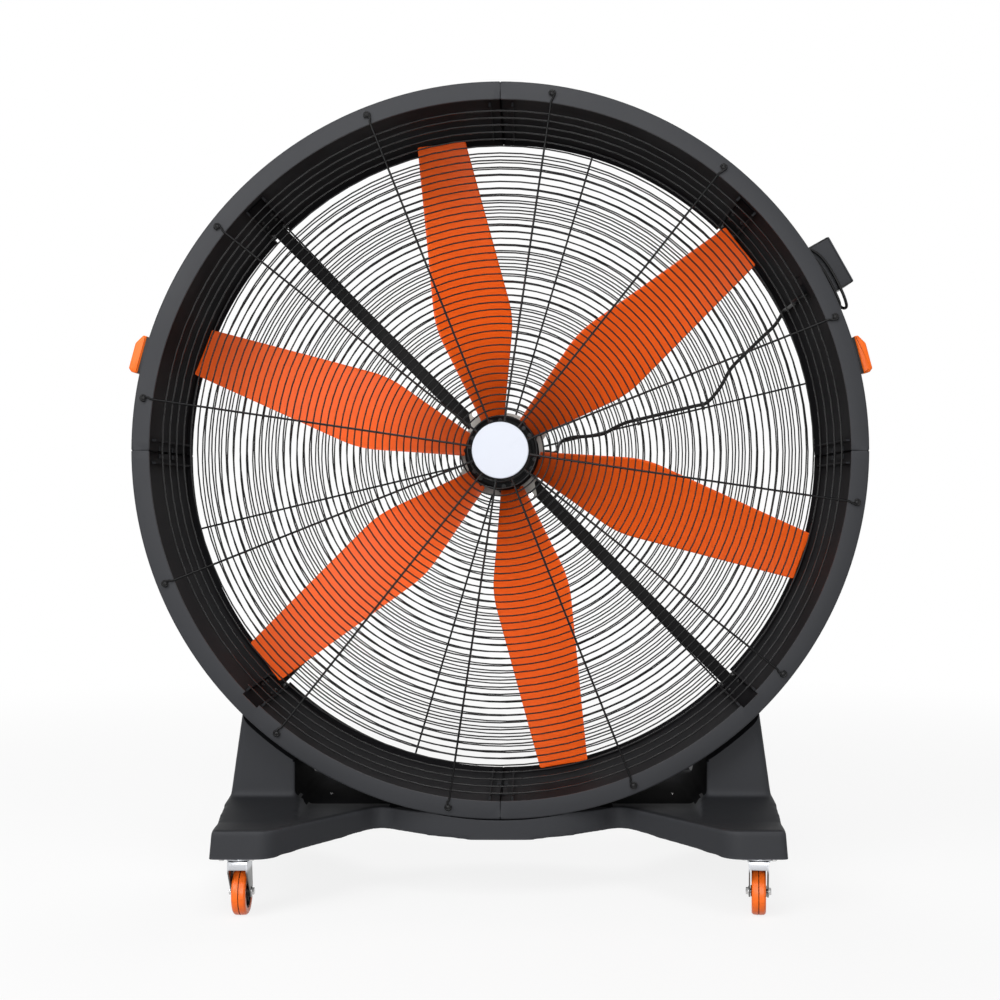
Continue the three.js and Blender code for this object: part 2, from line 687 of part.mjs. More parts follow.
function motorEndShield() {
  const seat = BEARING_RADIUS + CLEARANCE;
  const seatDepth = MOTOR_FRONT + BEARING_WIDTH;
  const lip = SHAFT_RADIUS + 2;
  const shield = revolve([
    [lip, MOTOR_FRONT], [MOTOR_RADIUS - MOTOR_WALL, MOTOR_FRONT],
    [MOTOR_RADIUS, MOTOR_FRONT + MOTOR_WALL / 2], [MOTOR_RADIUS, MOTOR_FRONT + MOTOR_WALL],
    [seat + MOTOR_WALL, MOTOR_FRONT + MOTOR_WALL], [seat + MOTOR_WALL, seatDepth],
    [seat, seatDepth], [seat, MOTOR_FRONT + 1], [lip, MOTOR_FRONT + 1], [lip, MOTOR_FRONT],
  ], MOTOR_FACETS);
  const half = MOTOR_EAR_WIDTH / 2;
  const ear = block(STATOR_RADIUS, MOTOR_EAR_REACH, MOTOR_FRONT + 1, MOTOR_FRONT + MOTOR_WALL, -half, half);
  return join(shield, ...[0, 90, 180, 270].map((step) => turned(ear, MOTOR_EAR_ANGLE + step)));
}

function addMotor() {
  add(machine, 'motor_housing', motorHousing(), GREY_METAL);
  add(machine, 'motor_end_shield', motorEndShield(), GREY_METAL);
  const middle = (MOTOR_FRONT + MOTOR_REAR) / 2;
  const stator = disc(STATOR_RADIUS, middle - CORE_DEPTH / 2, middle + CORE_DEPTH / 2, MOTOR_FACETS,
    ROTOR_RADIUS + AIR_GAP);
  add(machine, 'stator_core', stator, COPPER);
  const bore = SHAFT_RADIUS + CLEARANCE;
  const frontStart = MOTOR_FRONT + 1 + CLEARANCE;
  const rearEnd = MOTOR_REAR - MOTOR_WALL - CLEARANCE;
  const ring = (start, end) => disc(BEARING_RADIUS, start, end, MOTOR_FACETS, bore);
  add(machine, 'bearing_front', ring(frontStart, frontStart + BEARING_WIDTH - 2), ZINC);
  add(machine, 'bearing_rear', ring(rearEnd - BEARING_WIDTH + 1, rearEnd), ZINC);
}

/** Square tube along X between two radii, with a foot plate at its outer end. */
function strutArm(inner, outer) {
  const half = STRUT_SIZE / 2;
  const middle = STRUT_FRONT + half;
  const bore = half - STRUT_WALL;
  const footHalf = STRUT_FOOT_WIDTH / 2;
  const arm = join(
    block(inner, outer, STRUT_FRONT, STRUT_FRONT + STRUT_SIZE, -half, half),
    block(outer - STRUT_FOOT_THICKNESS, outer, middle - STRUT_FOOT_DEPTH / 2,
      middle + STRUT_FOOT_DEPTH / 2, -footHalf, footHalf),
  );
  return cut(arm, block(inner - 1, outer + 1, middle - bore, middle + bore, -bore, bore));
}

function addStruts() {
  const footHalf = STRUT_FOOT_WIDTH / 2;
  const reach = BARREL_RADIUS - footHalf * Math.tan(Math.PI / FULL_FACETS) - CLEARANCE;
  const arm = strutArm(-1, reach);
  const through = join(arm, turned(arm, 180));
  add(machine, 'motor_strut_through', turned(through, 135), BLACK_STEEL);
  const side = strutArm(STRUT_SIZE / 2 + CLEARANCE, reach);
  add(machine, 'motor_strut_upper', turned(side, 45), BLACK_STEEL);
  add(machine, 'motor_strut_lower', turned(side, 225), BLACK_STEEL);
  const half = MOUNT_PLATE_SIZE / 2;
  const corner = half / 3;
  const outline = shapeOf([
    [half, -half + corner], [half, half - corner], [half - corner, half], [-half + corner, half],
    [-half, half - corner], [-half, -half + corner], [-half + corner, -half], [half - corner, -half],
  ]);
  const plate = prismY(outline, PLATE_FRONT, PLATE_FRONT + MOUNT_PLATE_THICKNESS);
  add(machine, 'motor_mount_plate', turned(plate, 45), BLACK_STEEL);
}

// ---- Motor lead ----

function addMotorLead() {
  const behind = DRUM_DEPTH / 2 - GUARD_WIRE - 2 * CLEARANCE - LEAD_DIAMETER / 2;
  const start = MOTOR_RADIUS + CLEARANCE;
  const outlet = MOTOR_FRONT + LEAD_OUTLET;
  const alongWall = BARREL_RADIUS - LEAD_DIAMETER / 2 - 2;
  const onSpoke = (share) => inDrum(share * BARREL_RADIUS, TIED_SPOKE, TIE_SIDE_SHIFT, behind);
  const across = (share, degrees, ahead) => inDrum(share * BARREL_RADIUS, degrees, 0, behind - ahead);
  const onWall = (past, sink) => (
    inDrum(alongWall - sink, WINDOW_ANGLE - 1.2, 0, WINDOW_PLACE + past));
  const ending = across(0.949, 25.8, LEAD_DROP / 2);
  const far = behind - LEAD_DROP - WINDOW_PLACE;
  const points = [
    [start, outlet, 4], [start + 14, outlet + 1, 5], [start + 22, outlet + 16, 10],
    [start + 25, outlet + 41, 21], [start + 31, outlet + 64, 33], [start + 44, behind - 2, 42],
    [start + 68, behind, 48], [start + 102, behind, 50], [start + 142, behind, 57],
    [start + 176, behind, 75],
    onSpoke(0.403), onSpoke(0.437), onSpoke(0.496), onSpoke(0.571), onSpoke(0.627), onSpoke(0.658),
    across(0.712, 17.3, 0), across(0.768, 21, 0), across(0.83, 23, 0), across(0.894, 24.6, 2), ending,
    onWall(far, 3), onWall(0.9 * far, 0), onWall(0.71 * far, 0), onWall(0.48 * far, 0),
    onWall(0.376 * far, 1), onWall(80, 8), onWall(60, 16), onWall(42, 22), onWall(28, 24),
    onWall(15, 22), onWall(3, 14), onWall(-4, 3), onWall(-6, -7),
  ];
  add(machine, 'motor_lead', cable(points, LEAD_DIAMETER, 46), CABLE);
  TIE_SHARES.forEach((share, index) => {
    const tie = tieGeometry(share * BARREL_RADIUS, behind);
    add(machine, `lead_tie_${index + 1}`, tie, DARK_PLASTIC);
  });
}

/** Band round the lead and the spoke beside it, in a gap between two turns of the rear spiral. */
function tieGeometry(wished, leadPlace) {
  const radius = gapRadius(180 - (TIED_SPOKE - REAR_GUARD_TURN), wished);
  const leadHalf = LEAD_DIAMETER / 2 + CLEARANCE;
  const spokeHalf = SPOKE_WIRE / 2 + CLEARANCE;
  const [low, high] = [-spokeHalf, TIE_SIDE_SHIFT + leadHalf];
  const front = leadPlace - leadHalf;
  const back = DRUM_DEPTH / 2 + SPOKE_WIRE + 2 * CLEARANCE;
  const outline = (grow) => shapeOf([
    [front - grow, low - grow], [back + grow, low - grow],
    [back + grow, high + grow], [front - grow, high + grow],
  ]);
  const [inner, outer] = [radius - TIE_WIDTH / 2, radius + TIE_WIDTH / 2];
  const band = cut(prismX(outline(TIE_THICKNESS), inner, outer), prismX(outline(0), inner - 1, outer + 1));
  return turned(band, TIED_SPOKE);
}

// ---- Control box ----
// Built at angle 0, where X is the radius and Z runs along the barrel's girth.

function addControlBox() {
  const box = new THREE.Group();
  box.rotation.y = -radians(BOX_ANGLE);
  machine.add(box);
  const halfLength = BOX_LENGTH / 2;
  const front = BOX_PLACE - BOX_DEPTH / 2;
  const rear = BOX_PLACE + BOX_DEPTH / 2;
  const lidUnder = BOX_TOP - LID_THICKNESS;
  const barrel = turned(
    disc(BARREL_OUTER_RADIUS + CLEARANCE / FACET_FACTOR, front - 1, rear + 1, FULL_FACETS), -BOX_ANGLE);
  const switchZ = CONTROL_SPACING / 2;
  const knobZ = -CONTROL_SPACING / 2;
  const controlX = (BARREL_OUTER_RADIUS + BOX_TOP) / 2;
  const wellWidth = SWITCH_WIDTH / 2 + CLEARANCE;
  const wellLength = SWITCH_HALF_LENGTH + 1;
  const well = block(controlX - wellLength, controlX + wellLength, rear - SWITCH_WELL, rear + 1,
    switchZ - wellWidth, switchZ + wellWidth);
  const shell = cut(
    block(BARREL_OUTER_RADIUS - 5, lidUnder - CLEARANCE, front, rear, -halfLength, halfLength),
    barrel, well);
  add(box, 'control_box', shell, PLASTIC);
  const lidShape = block(lidUnder, BOX_TOP, front, rear, -halfLength, halfLength);
  add(box, 'control_box_lid', lidShape, PLASTIC);
  const knob = revolve([
    [0, 0], [KNOB_RADIUS, 0], [KNOB_RADIUS, 4], [KNOB_RADIUS - 3, 5],
    [KNOB_RADIUS - 4, KNOB_HEIGHT], [0, KNOB_HEIGHT],
  ], 16);
  add(box, 'speed_knob', knob.translate(controlX, rear + CLEARANCE, knobZ), DARK_PLASTIC);
  const rocker = add(box, 'power_switch', switchRocker(), DARK_PLASTIC);
  rocker.position.set(controlX, rear - SWITCH_PIVOT, switchZ);
  rocker.rotation.z = radians(SWITCH_TILT);
  addCableLoops(box, front, halfLength);
}

/** Rocker of the power switch in its middle position, with its pivot along Z at the origin. */
function switchRocker() {
  const end = SWITCH_HALF_LENGTH;
  const keel = SWITCH_WELL - SWITCH_PIVOT - 0.8;
  const outline = shapeOf([[-end, -0.5], [0, -keel], [end, -0.5], [end, 4], [0, 2.2], [-end, 4]]);
  return prismZ(outline, -SWITCH_WIDTH / 2, SWITCH_WIDTH / 2);
}

/** Two cables that leave the end of the box and curl over its front face into the barrel. */
function addCableLoops(box, front, halfLength) {
  const end = -halfLength - CLEARANCE;
  const lift = [49, 34];
  ['a', 'b'].forEach((letter, index) => {
    const top = BARREL_OUTER_RADIUS + lift[index];
    const ahead = front - LOOP_DIAMETER / 2 - 6;
    const start = front + 48 - 12 * index;
    const points = [
      [top - 12, start, end], [top - 12, start, end - 10], [top - 10, start - 4, end - 26],
      [top - 8, start - 20, end - 41 + 5 * index], [top - 5, ahead + 12, end - 42 + 6 * index],
      [top - 3, ahead + 1, end - 28], [top, ahead, end - 5], [top + 2, ahead, end + 30],
      [top + 1, ahead, end + 62], [top - 5, ahead, end + 92], [top - 18, ahead, end + 114 - 7 * index],
      [BARREL_OUTER_RADIUS + 14, ahead, end + 126 - 10 * index],
      [BARREL_OUTER_RADIUS + CLEARANCE, ahead, end + 129 - 10 * index],
    ];
    add(box, `box_cable_${letter}`, cable(points, LOOP_DIAMETER, 20), CABLE);
  });
}

// ---- Side handles ----
// Built at angle 0, where X is the radius and Z runs along the barrel's girth.

function handleBracket() {
  const [start, end] = [HANDLE_PLACE - HANDLE_LENGTH / 2, HANDLE_PLACE + HANDLE_LENGTH / 2];
  const half = HANDLE_WIDTH / 2 - 2;
  const foot = BARREL_OUTER_RADIUS - 5;
  const top = GRIP_INNER_RADIUS - CLEARANCE;
  const strapTop = BARREL_OUTER_RADIUS + HANDLE_STRAP;
  return join(
    block(foot, top, start, start + HANDLE_POST_LENGTH, -half, half),
    block(foot, top, end - HANDLE_POST_LENGTH, end, -half, half),
    block(foot, strapTop, start, end, -half, half),
  );
}

function handleGrip() {
  const [start, end] = [HANDLE_PLACE - HANDLE_LENGTH / 2, HANDLE_PLACE + HANDLE_LENGTH / 2];
  const half = HANDLE_WIDTH / 2;
  const waist = GRIP_WAIST / 2;
  const top = GRIP_INNER_RADIUS + GRIP_THICKNESS;
  const side = prismY(shapeOf([
    [GRIP_INNER_RADIUS, -half], [top - 8, -half], [top, -half + 7], [top, half - 22],
    [top - 13, half], [GRIP_INNER_RADIUS, half],
  ]), start, end);
  const bite = (sign) => {
    const near = start + HANDLE_POST_LENGTH;
    const far = end - HANDLE_POST_LENGTH;
    const outline = shapeOf([
      [near, sign * (half + 1)], [near + 18, sign * waist], [far - 18, sign * waist],
      [far, sign * (half + 1)],
    ]);
    return prismX(outline, GRIP_INNER_RADIUS - 1, top + 1);
  };
  return cut(side, bite(1), bite(-1));
}

function addHandles() {
  const bracket = handleBracket();
  const grip = handleGrip();
  const barrel = disc(
    BARREL_OUTER_RADIUS + CLEARANCE / FACET_FACTOR, -DRUM_DEPTH / 2, DRUM_DEPTH / 2, FULL_FACETS);
  ['right', 'left'].forEach((side, index) => {
    const place = (geometry) => {
      const upright = turned(geometry, HANDLE_ANGLE);
      return index === 0 ? upright : clean(upright.scale(-1, 1, 1));
    };
    add(machine, `handle_bracket_${side}`, cut(place(bracket), barrel), DARK_PLASTIC);
    add(machine, `handle_grip_${side}`, place(grip), ORANGE);
  });
}

// ---- Base ----

/** Outline of the base seen from above, drawn inside by a margin. */
function basePlan(margin) {
  const shape = new THREE.Shape();
  const half = DRUM_DEPTH / 2 - margin;
  const reach = FOOT_REACH - margin;
  const outer = FOOT_OUTER - margin;
  const inner = FOOT_INNER + margin;
  const waist = WAIST_REACH - margin;
  const side = BASE_HALF_WIDTH - margin;
  const step = 20;
  const knee = (inner + WAIST_PLACE) / 2;
  const edge = (sx, sy) => {
    const point = (x, y) => new THREE.Vector2(sx * x, sy * y);
    return [
      new THREE.CubicBezierCurve(point(0, half), point(110, half), point(180, waist + 4),
        point(WAIST_PLACE - 40, waist)),
      new THREE.CubicBezierCurve(point(WAIST_PLACE - 40, waist), point(WAIST_PLACE + 60, waist - 6),
        point(knee, waist + 90), point(inner - 22, reach - 60)),
      new THREE.CubicBezierCurve(point(inner - 22, reach - 60), point(inner - 8, reach - step),
        point(inner + 6, reach), point(inner + 40, reach)),
      new THREE.LineCurve(point(inner + 40, reach), point(outer - 12, reach)),
      new THREE.QuadraticBezierCurve(point(outer - 12, reach), point(outer, reach),
        point(outer + 1, reach - 12)),
      new THREE.QuadraticBezierCurve(point(outer + 1, reach - 12), point(side, reach / 2),
        point(side, 0)),
    ];
  };
  const pointsOf = (curve) => curve.getPoints(curve.isLineCurve ? 1 : 3);
  const flip = (curves) => curves.toReversed().flatMap((curve) => pointsOf(curve).reverse());
  const forward = (curves) => curves.flatMap(pointsOf);
  const points = [
    ...forward(edge(1, -1)), ...flip(edge(1, 1)), ...forward(edge(-1, 1)), ...flip(edge(-1, -1)),
  ];
  const kept = points.filter((point, i) => point.distanceTo(points[(i + 1) % points.length]) > 0.5);
  shape.setFromPoints(kept);
  return shape;
}

/** Share of the way up from the underside of the base to its deck. */
const deckShare = (z) => THREE.MathUtils.clamp((z - BASE_UNDERSIDE) / DECK_HEIGHT, 0, 1);

/** Narrows a slab of the base towards the deck, as its mould does. */
function drafted(geometry) {
  const places = geometry.getAttribute('position');
  for (let i = 0; i < places.count; i += 1) {
    const drawIn = BASE_DRAFT * deckShare(places.getZ(i));
    places.setX(i, places.getX(i) * (1 - drawIn / BASE_HALF_WIDTH));
    places.setY(i, places.getY(i) * (1 - drawIn / FOOT_REACH));
  }
  return geometry;
}

/** Cutter for the low arches of the underside between the feet and the middle. */
function underArch() {
  const [low, high] = [BASE_UNDERSIDE - 1, BASE_UNDERSIDE + ARCH_HEIGHT];
  const arch = shapeOf([
    [ARCH_START, low], [FOOT_INNER - ARCH_START / 4, low], [WAIST_PLACE, high], [ARCH_CROWN, high],
  ]);
  return prismY(arch, -FOOT_REACH, FOOT_REACH);
}

/** Rounded rectangle of the tower at a height, grown by a flare that the outer side doesn't share. */
function towerRing(z, flare, shrink) {
  const lean = TOWER_LEAN * Math.max(0, z - DECK_TOP) + BASE_DRAFT * deckShare(z);
  const [x0, x1] = [TOWER_INNER - flare + shrink, TOWER_OUTER - lean - shrink];
  const y1 = TOWER_DEPTH / 2 + flare - shrink;
  const corner = TOWER_CORNER;
  const ring = [];
  const centres = [[x1, y1, 0], [x0, y1, 90], [x0, -y1, 180], [x1, -y1, 270]];
  for (const [x, y, from] of centres) {
    for (const turn of [0, 90]) {
      const angle = radians(from + turn);
      const cx = x - corner * Math.sign(x - (x0 + x1) / 2);
      const cy = y - corner * Math.sign(y);
      ring.push(new THREE.Vector3(cx + corner * Math.cos(angle), cy + corner * Math.sin(angle), z));
    }
  }
  return ring;
}

/** Tower with a fillet where it rises from the deck. */
function tower(shrink, bottom) {
  const rings = [towerRing(bottom, TOWER_FILLET, shrink)];
  for (const share of [0, 0.35, 1]) {
    const z = DECK_TOP - shrink + share * TOWER_FILLET;
    const flare = TOWER_FILLET * (1 - Math.sqrt(1 - (1 - share) ** 2));
    rings.push(towerRing(z, flare, shrink));
  }
  rings.push(towerRing(DECK_TOP + TOWER_TOP, 0, shrink));
  return loft(rings);
}

/** Room that the drum takes out of the base, grown by a margin. */
function drumRoom(margin) {
  const rim = RIM_OUTER_RADIUS + margin / FACET_FACTOR;
  const barrel = BARREL_OUTER_RADIUS + margin / FACET_FACTOR;
  const step = DRUM_DEPTH / 2 - RIM_DEPTH - margin;
  const reach = FOOT_REACH + 1;
  const room = revolve([
    [0, -reach], [rim, -reach], [rim, -step], [barrel, -step], [barrel, step], [rim, step],
    [rim, reach], [0, reach],
  ], FULL_FACETS);
  const half = RIB_THICKNESS + 2 * CLEARANCE + margin;
  const slot = block(-half, half, -step, step,
    -(BARREL_OUTER_RADIUS + SEAM_FLANGE_HEIGHT + margin + CLEARANCE), -BARREL_RADIUS);
  return join(room, slot).translate(0, 0, AXIS_HEIGHT);
}

/** Chamfer at both ends of the cradle in the towers. */
function cradleChamfer(margin) {
  const face = TOWER_DEPTH / 2 + 1;
  const wide = BARREL_OUTER_RADIUS + CRADLE_CHAMFER + margin;
  const cone = [[0, face], [wide + 1, face], [BARREL_OUTER_RADIUS, face - CRADLE_CHAMFER - 1],
    [0, face - CRADLE_CHAMFER - 1]];
  const side = (sign) => revolve(cone.map(([radius, y]) => [radius, sign * y]), FULL_FACETS);
  return [side(1), side(-1)].map((geometry) => geometry.translate(0, 0, AXIS_HEIGHT));
}

function mirrored(geometry) {
  return clean(geometry.clone().scale(-1, 1, 1));
}

function baseOuter() {
  const slab = new THREE.ExtrudeGeometry(basePlan(BASE_EDGE), {
    depth: DECK_HEIGHT, bevelThickness: BASE_EDGE, bevelSize: BASE_EDGE, bevelSegments: 1,
  }).translate(0, 0, BASE_UNDERSIDE - BASE_EDGE);
  const under = block(-2 * FOOT_OUTER, 2 * FOOT_OUTER, -2 * FOOT_REACH, 2 * FOOT_REACH,
    0, BASE_UNDERSIDE);
  const right = tower(0, BASE_UNDERSIDE);
  const whole = join(drafted(cut(slab, under)), right, mirrored(right));
  const arch = underArch();
  return cut(whole, arch, mirrored(arch), drumRoom(CLEARANCE), ...cradleChamfer(0));
}

function baseInner() {
  const slab = drafted(prismZ(basePlan(BASE_WALL + 1), 0, DECK_TOP - BASE_WALL));
  const right = tower(BASE_WALL, BASE_UNDERSIDE - BASE_WALL);
  return cut(join(slab, right, mirrored(right)), drumRoom(CLEARANCE + BASE_WALL),
    ...cradleChamfer(BASE_WALL));
}

/** Solid pads inside the feet that carry the caster plates. */
function casterPads() {
  const [halfX, halfY] = [CASTER_PLATE_WIDTH / 2, CASTER_PLATE_LENGTH / 2];
  const pads = [];
  for (const sx of [-1, 1]) {
    for (const sy of [-1, 1]) {
      const [x, y] = [sx * CASTER_X, sy * CASTER_Y];
      pads.push(block(x - halfX, x + halfX, y - halfY, y + halfY, BASE_UNDERSIDE, DECK_TOP - 1));
    }
  }
  return pads;
}

function addBase() {
  const shell = cut(baseOuter(), baseInner());
  add(fan, 'base', common(join(shell, ...casterPads()), baseOuter()), PLASTIC);
}

// ---- Casters ----
// Built with the swivel axis on Z at x = y = 0, and the wheel trailing towards +Y.

function casterPlate() {
  const [halfX, halfY] = [CASTER_PLATE_WIDTH / 2, CASTER_PLATE_LENGTH / 2];
  const under = CASTER_HEIGHT - CASTER_PLATE_THICKNESS;
  const race = disc(RACE_RADIUS, under - RACE_HEIGHT, under + 1, 12).rotateX(Math.PI / 2);
  return join(block(-halfX, halfX, -halfY, halfY, under, CASTER_HEIGHT), race);
}

function casterFork() {
  const axleZ = WHEEL_DIAMETER / 2;
  const crownTop = CASTER_HEIGHT - CASTER_PLATE_THICKNESS - RACE_HEIGHT - CLEARANCE;
  const crownUnder = WHEEL_DIAMETER + FORK_CROWN_GAP;
  const inside = WHEEL_WIDTH / 2 + 3;
  const outside = inside + FORK_GAUGE;
  const side = shapeOf([
    [-RACE_RADIUS, crownTop], [-RACE_RADIUS, crownUnder], [CASTER_TRAIL - 12, axleZ - 8],
    [CASTER_TRAIL, axleZ - 13], [CASTER_TRAIL + 12, axleZ - 8], [RACE_RADIUS + 4, crownUnder],
    [RACE_RADIUS, crownTop],
  ]);
  const crown = block(-outside, outside, -RACE_RADIUS, RACE_RADIUS, crownUnder, crownTop);
  const axle = disc(AXLE_RADIUS, -outside, outside, 8);
  const nut = (sign) => disc(AXLE_NUT_RADIUS, sign * (outside - 1), sign * (outside + AXLE_NUT_HEIGHT), 6);
  const across = (geometry) => geometry.rotateZ(Math.PI / 2).translate(0, CASTER_TRAIL, axleZ);
  return join(
    crown, prismX(side, inside, outside), prismX(side, -outside, -inside),
    across(axle), across(nut(1)), across(nut(-1)),
  );
}

/** A wheel piece about the Y axis, with its sizes measured to the flats and one flat facing down. */
function wheelPiece(profile) {
  const factor = Math.cos(Math.PI / WHEEL_FACETS);
  const wide = profile.map(([radius, y]) => [radius / factor, y]);
  return revolve(wide, WHEEL_FACETS).rotateY(Math.PI / WHEEL_FACETS);
}

function casterTyre() {
  const outer = WHEEL_DIAMETER / 2;
  const inner = outer - TYRE_THICKNESS;
  const half = WHEEL_WIDTH / 2;
  return wheelPiece([
    [inner, -half], [outer - 5, -half], [outer, -half + 6], [outer, half - 6], [outer - 5, half],
    [inner, half], [inner, -half],
  ]);
}

function casterCore() {
  const outer = WHEEL_DIAMETER / 2 - TYRE_THICKNESS - CLEARANCE;
  const half = WHEEL_WIDTH / 2;
  const bore = AXLE_RADIUS + CLEARANCE;
  return wheelPiece([
    [bore, -half - 2], [bore + 7, -half - 2], [bore + 8, -half + 7], [outer, -half + 2],
    [outer, half - 2], [bore + 8, half - 7], [bore + 7, half + 2], [bore, half + 2],
    [bore, -half - 2],
  ]);
}

function addCasters() {
  const parts = { plate: casterPlate(), fork: casterFork() };
  const wheel = (geometry) => (
    geometry.rotateZ(Math.PI / 2).translate(0, CASTER_TRAIL, WHEEL_DIAMETER / 2));
  parts.tyre = wheel(casterTyre());
  parts.core = wheel(casterCore());
  const places = {
    front_left: [-1, -1, 0], front_right: [1, -1, RIGHT_FRONT_YAW],
    rear_left: [-1, 1, 180], rear_right: [1, 1, 180],
  };
  for (const [name, [sx, sy, yaw]] of Object.entries(places)) {
    const fixed = new THREE.Group();
    fixed.position.set(sx * CASTER_X, sy * CASTER_Y, 0);
    const swivel = new THREE.Group();
    swivel.rotation.z = radians(yaw);
    fixed.add(swivel);
    fan.add(fixed);
    add(fixed, `caster_plate_${name}`, parts.plate.clone(), ZINC);
    add(swivel, `caster_fork_${name}`, parts.fork.clone(), ZINC);
    add(swivel, `caster_tyre_${name}`, parts.tyre.clone(), ORANGE);
    add(swivel, `caster_core_${name}`, parts.core.clone(), DARK_PLASTIC);
  }
}

addDrum();
addGuards();
addImpeller();
addMotor();
addStruts();
addMotorLead();
addControlBox();
addHandles();
addBase();
addCasters();

export default fan;
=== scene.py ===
import json
import logging
import math
from collections.abc import Callable, Iterable, Mapping, Sequence
from dataclasses import dataclass, field
from enum import Enum
from typing import Any

import bmesh
import bpy
from mathutils import Matrix, Vector

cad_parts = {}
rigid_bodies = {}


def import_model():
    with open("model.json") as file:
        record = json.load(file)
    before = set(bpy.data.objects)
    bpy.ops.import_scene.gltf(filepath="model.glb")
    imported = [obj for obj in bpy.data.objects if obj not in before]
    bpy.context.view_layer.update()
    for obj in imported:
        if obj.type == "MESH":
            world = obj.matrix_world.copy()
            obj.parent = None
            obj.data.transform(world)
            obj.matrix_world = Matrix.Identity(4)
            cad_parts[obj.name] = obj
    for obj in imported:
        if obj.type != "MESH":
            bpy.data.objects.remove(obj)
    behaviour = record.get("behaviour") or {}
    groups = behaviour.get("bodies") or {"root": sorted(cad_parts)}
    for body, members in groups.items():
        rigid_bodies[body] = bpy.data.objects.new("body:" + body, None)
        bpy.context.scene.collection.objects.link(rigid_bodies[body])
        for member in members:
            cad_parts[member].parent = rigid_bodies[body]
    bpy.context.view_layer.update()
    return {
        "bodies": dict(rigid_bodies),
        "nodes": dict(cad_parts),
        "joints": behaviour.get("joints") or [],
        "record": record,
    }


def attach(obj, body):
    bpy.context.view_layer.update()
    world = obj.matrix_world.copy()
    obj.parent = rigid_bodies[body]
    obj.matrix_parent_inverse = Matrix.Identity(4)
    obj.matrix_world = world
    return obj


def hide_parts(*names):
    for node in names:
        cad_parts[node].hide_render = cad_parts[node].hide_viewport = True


LOG = logging.getLogger("drum_fan")

MM = 0.001
CLEARANCE = 0.3
DRUM_DEPTH = 450.0
HALF_DEPTH = DRUM_DEPTH / 2
BARREL_INNER = 806.0
BARREL_OUTER = 812.0
RIM_INNER = 791.0
RIM_OUTER = 833.0
RIM_DEPTH = 30.0
HUB_RADIUS = 89.0
HUB_FRONT = -5.0
HUB_REAR = 103.0
STRUT_FRONT = 166.6
STRUT_SIZE = 32.0
AXIS_HEIGHT = 1021.0
BASE_UNDERSIDE = 143.0
DECK_TOP = 204.0
CASTER_X = 565.0
CASTER_Y = 340.0
WINDOW_ANGLE = 28.5
WINDOW_PLACE = -78.0
SEAT_GAP = 0.4
QUARTERS = ("upper_right", "upper_left", "lower_left", "lower_right")

Outline = Sequence[tuple[float, float]]
Number = "Value | float"


# ---------------------------------------------------------------------------
# Shapes
# ---------------------------------------------------------------------------


class Operation(Enum):
    """How one solid is combined with another."""

    ADD = "UNION"
    CUT = "DIFFERENCE"
    TRIM = "INTERSECT"


class Head(Enum):
    """Shape of a screw's head."""

    HEX = 6
    ROUND = 20


def in_drum(radius: float, degrees: float, shift: float, depth: float) -> Vector:
    """Point in the drum, before it is lifted to the fan axis.

    Args:
        radius: distance from the fan axis.
        degrees: angle about the axis, counter-clockwise seen from the blowing side.
        shift: distance along the girth, counter-clockwise.
        depth: place along the axis.

    Returns:
        The point in millimetres.
    """
    angle = math.radians(degrees)
    cos, sin = math.cos(angle), math.sin(angle)
    return Vector((radius * cos - shift * sin, depth, radius * sin + shift * cos))


def drum_turn(degrees: float) -> Matrix:
    """Rotation that takes a piece built at angle 0 to an angle about the fan axis."""
    return Matrix.Rotation(-math.radians(degrees), 4, "Y")


def lifted() -> Matrix:
    """Move from the fan axis at the origin to its height above the floor."""
    return Matrix.Translation((0, 0, AXIS_HEIGHT))


def mix(low: float, high: float, share: float) -> float:
    """Number at a share of the way between two others."""
    return low + (high - low) * share


def clamp(value: float, low: float = 0.0, high: float = 1.0) -> float:
    """Number held between two limits."""
    return max(low, min(high, value))


def ease(share: float) -> float:
    """Share that starts and ends softly."""
    held = clamp(share)
    return held * held * (3 - 2 * held)


def rounded(
    outline: Sequence[tuple[float, ...]], radius: float, steps: int = 3,
) -> list[tuple[float, float]]:
    """Rounds the corners of a closed outline.

    Args:
        outline: corners as (u, v), or (u, v, own radius).
        radius: radius of the corners that don't give their own.
        steps: parts of each arc.

    Returns:
        The points of the rounded outline.
    """
    corners = [Vector(corner[:2]) for corner in outline]
    result: list[tuple[float, float]] = []
    for i, corner in enumerate(corners):
        wanted = outline[i][2] if len(outline[i]) > 2 else radius
        before, after = corners[i - 1] - corner, corners[(i + 1) % len(corners)] - corner
        half = before.angle(after) / 2
        reach = min(wanted / max(math.tan(half), 1e-6), 0.48 * before.length, 0.48 * after.length)
        if reach < 1e-4 or half > math.radians(88):
            result.append((corner.x, corner.y))
            continue
        first, last = corner + before.normalized() * reach, corner + after.normalized() * reach
        for step in range(steps + 1):
            share = step / steps
            point = first.lerp(corner, share).lerp(corner.lerp(last, share), share)
            result.append((point.x, point.y))
    return result


def oblong(
    low: tuple[float, float], high: tuple[float, float], corner: float, steps: int = 3,
) -> list[tuple[float, float]]:
    """Rectangle between two corners, with rounded corners."""
    return rounded([low, (high[0], low[1]), high, (low[0], high[1])], corner, steps)


def inset(outline: Outline, amount: float) -> list[tuple[float, float]]:
    """Closed outline with each point moved inwards by an amount.

    Args:
        outline: the outline.
        amount: how far, outwards where it is below 0.

    Returns:
        The moved points.
    """
    count = len(outline)
    area = sum(
        outline[i - 1][0] * outline[i][1] - outline[i][0] * outline[i - 1][1] for i in range(count)
    )
    sign = 1.0 if area > 0 else -1.0
    result = []
    for i, (u, v) in enumerate(outline):
        (u0, v0), (u1, v1) = outline[i - 1], outline[(i + 1) % count]
        along = Vector((u1 - u0, v1 - v0)).normalized()
        result.append((u - sign * along.y * amount, v + sign * along.x * amount))
    return result


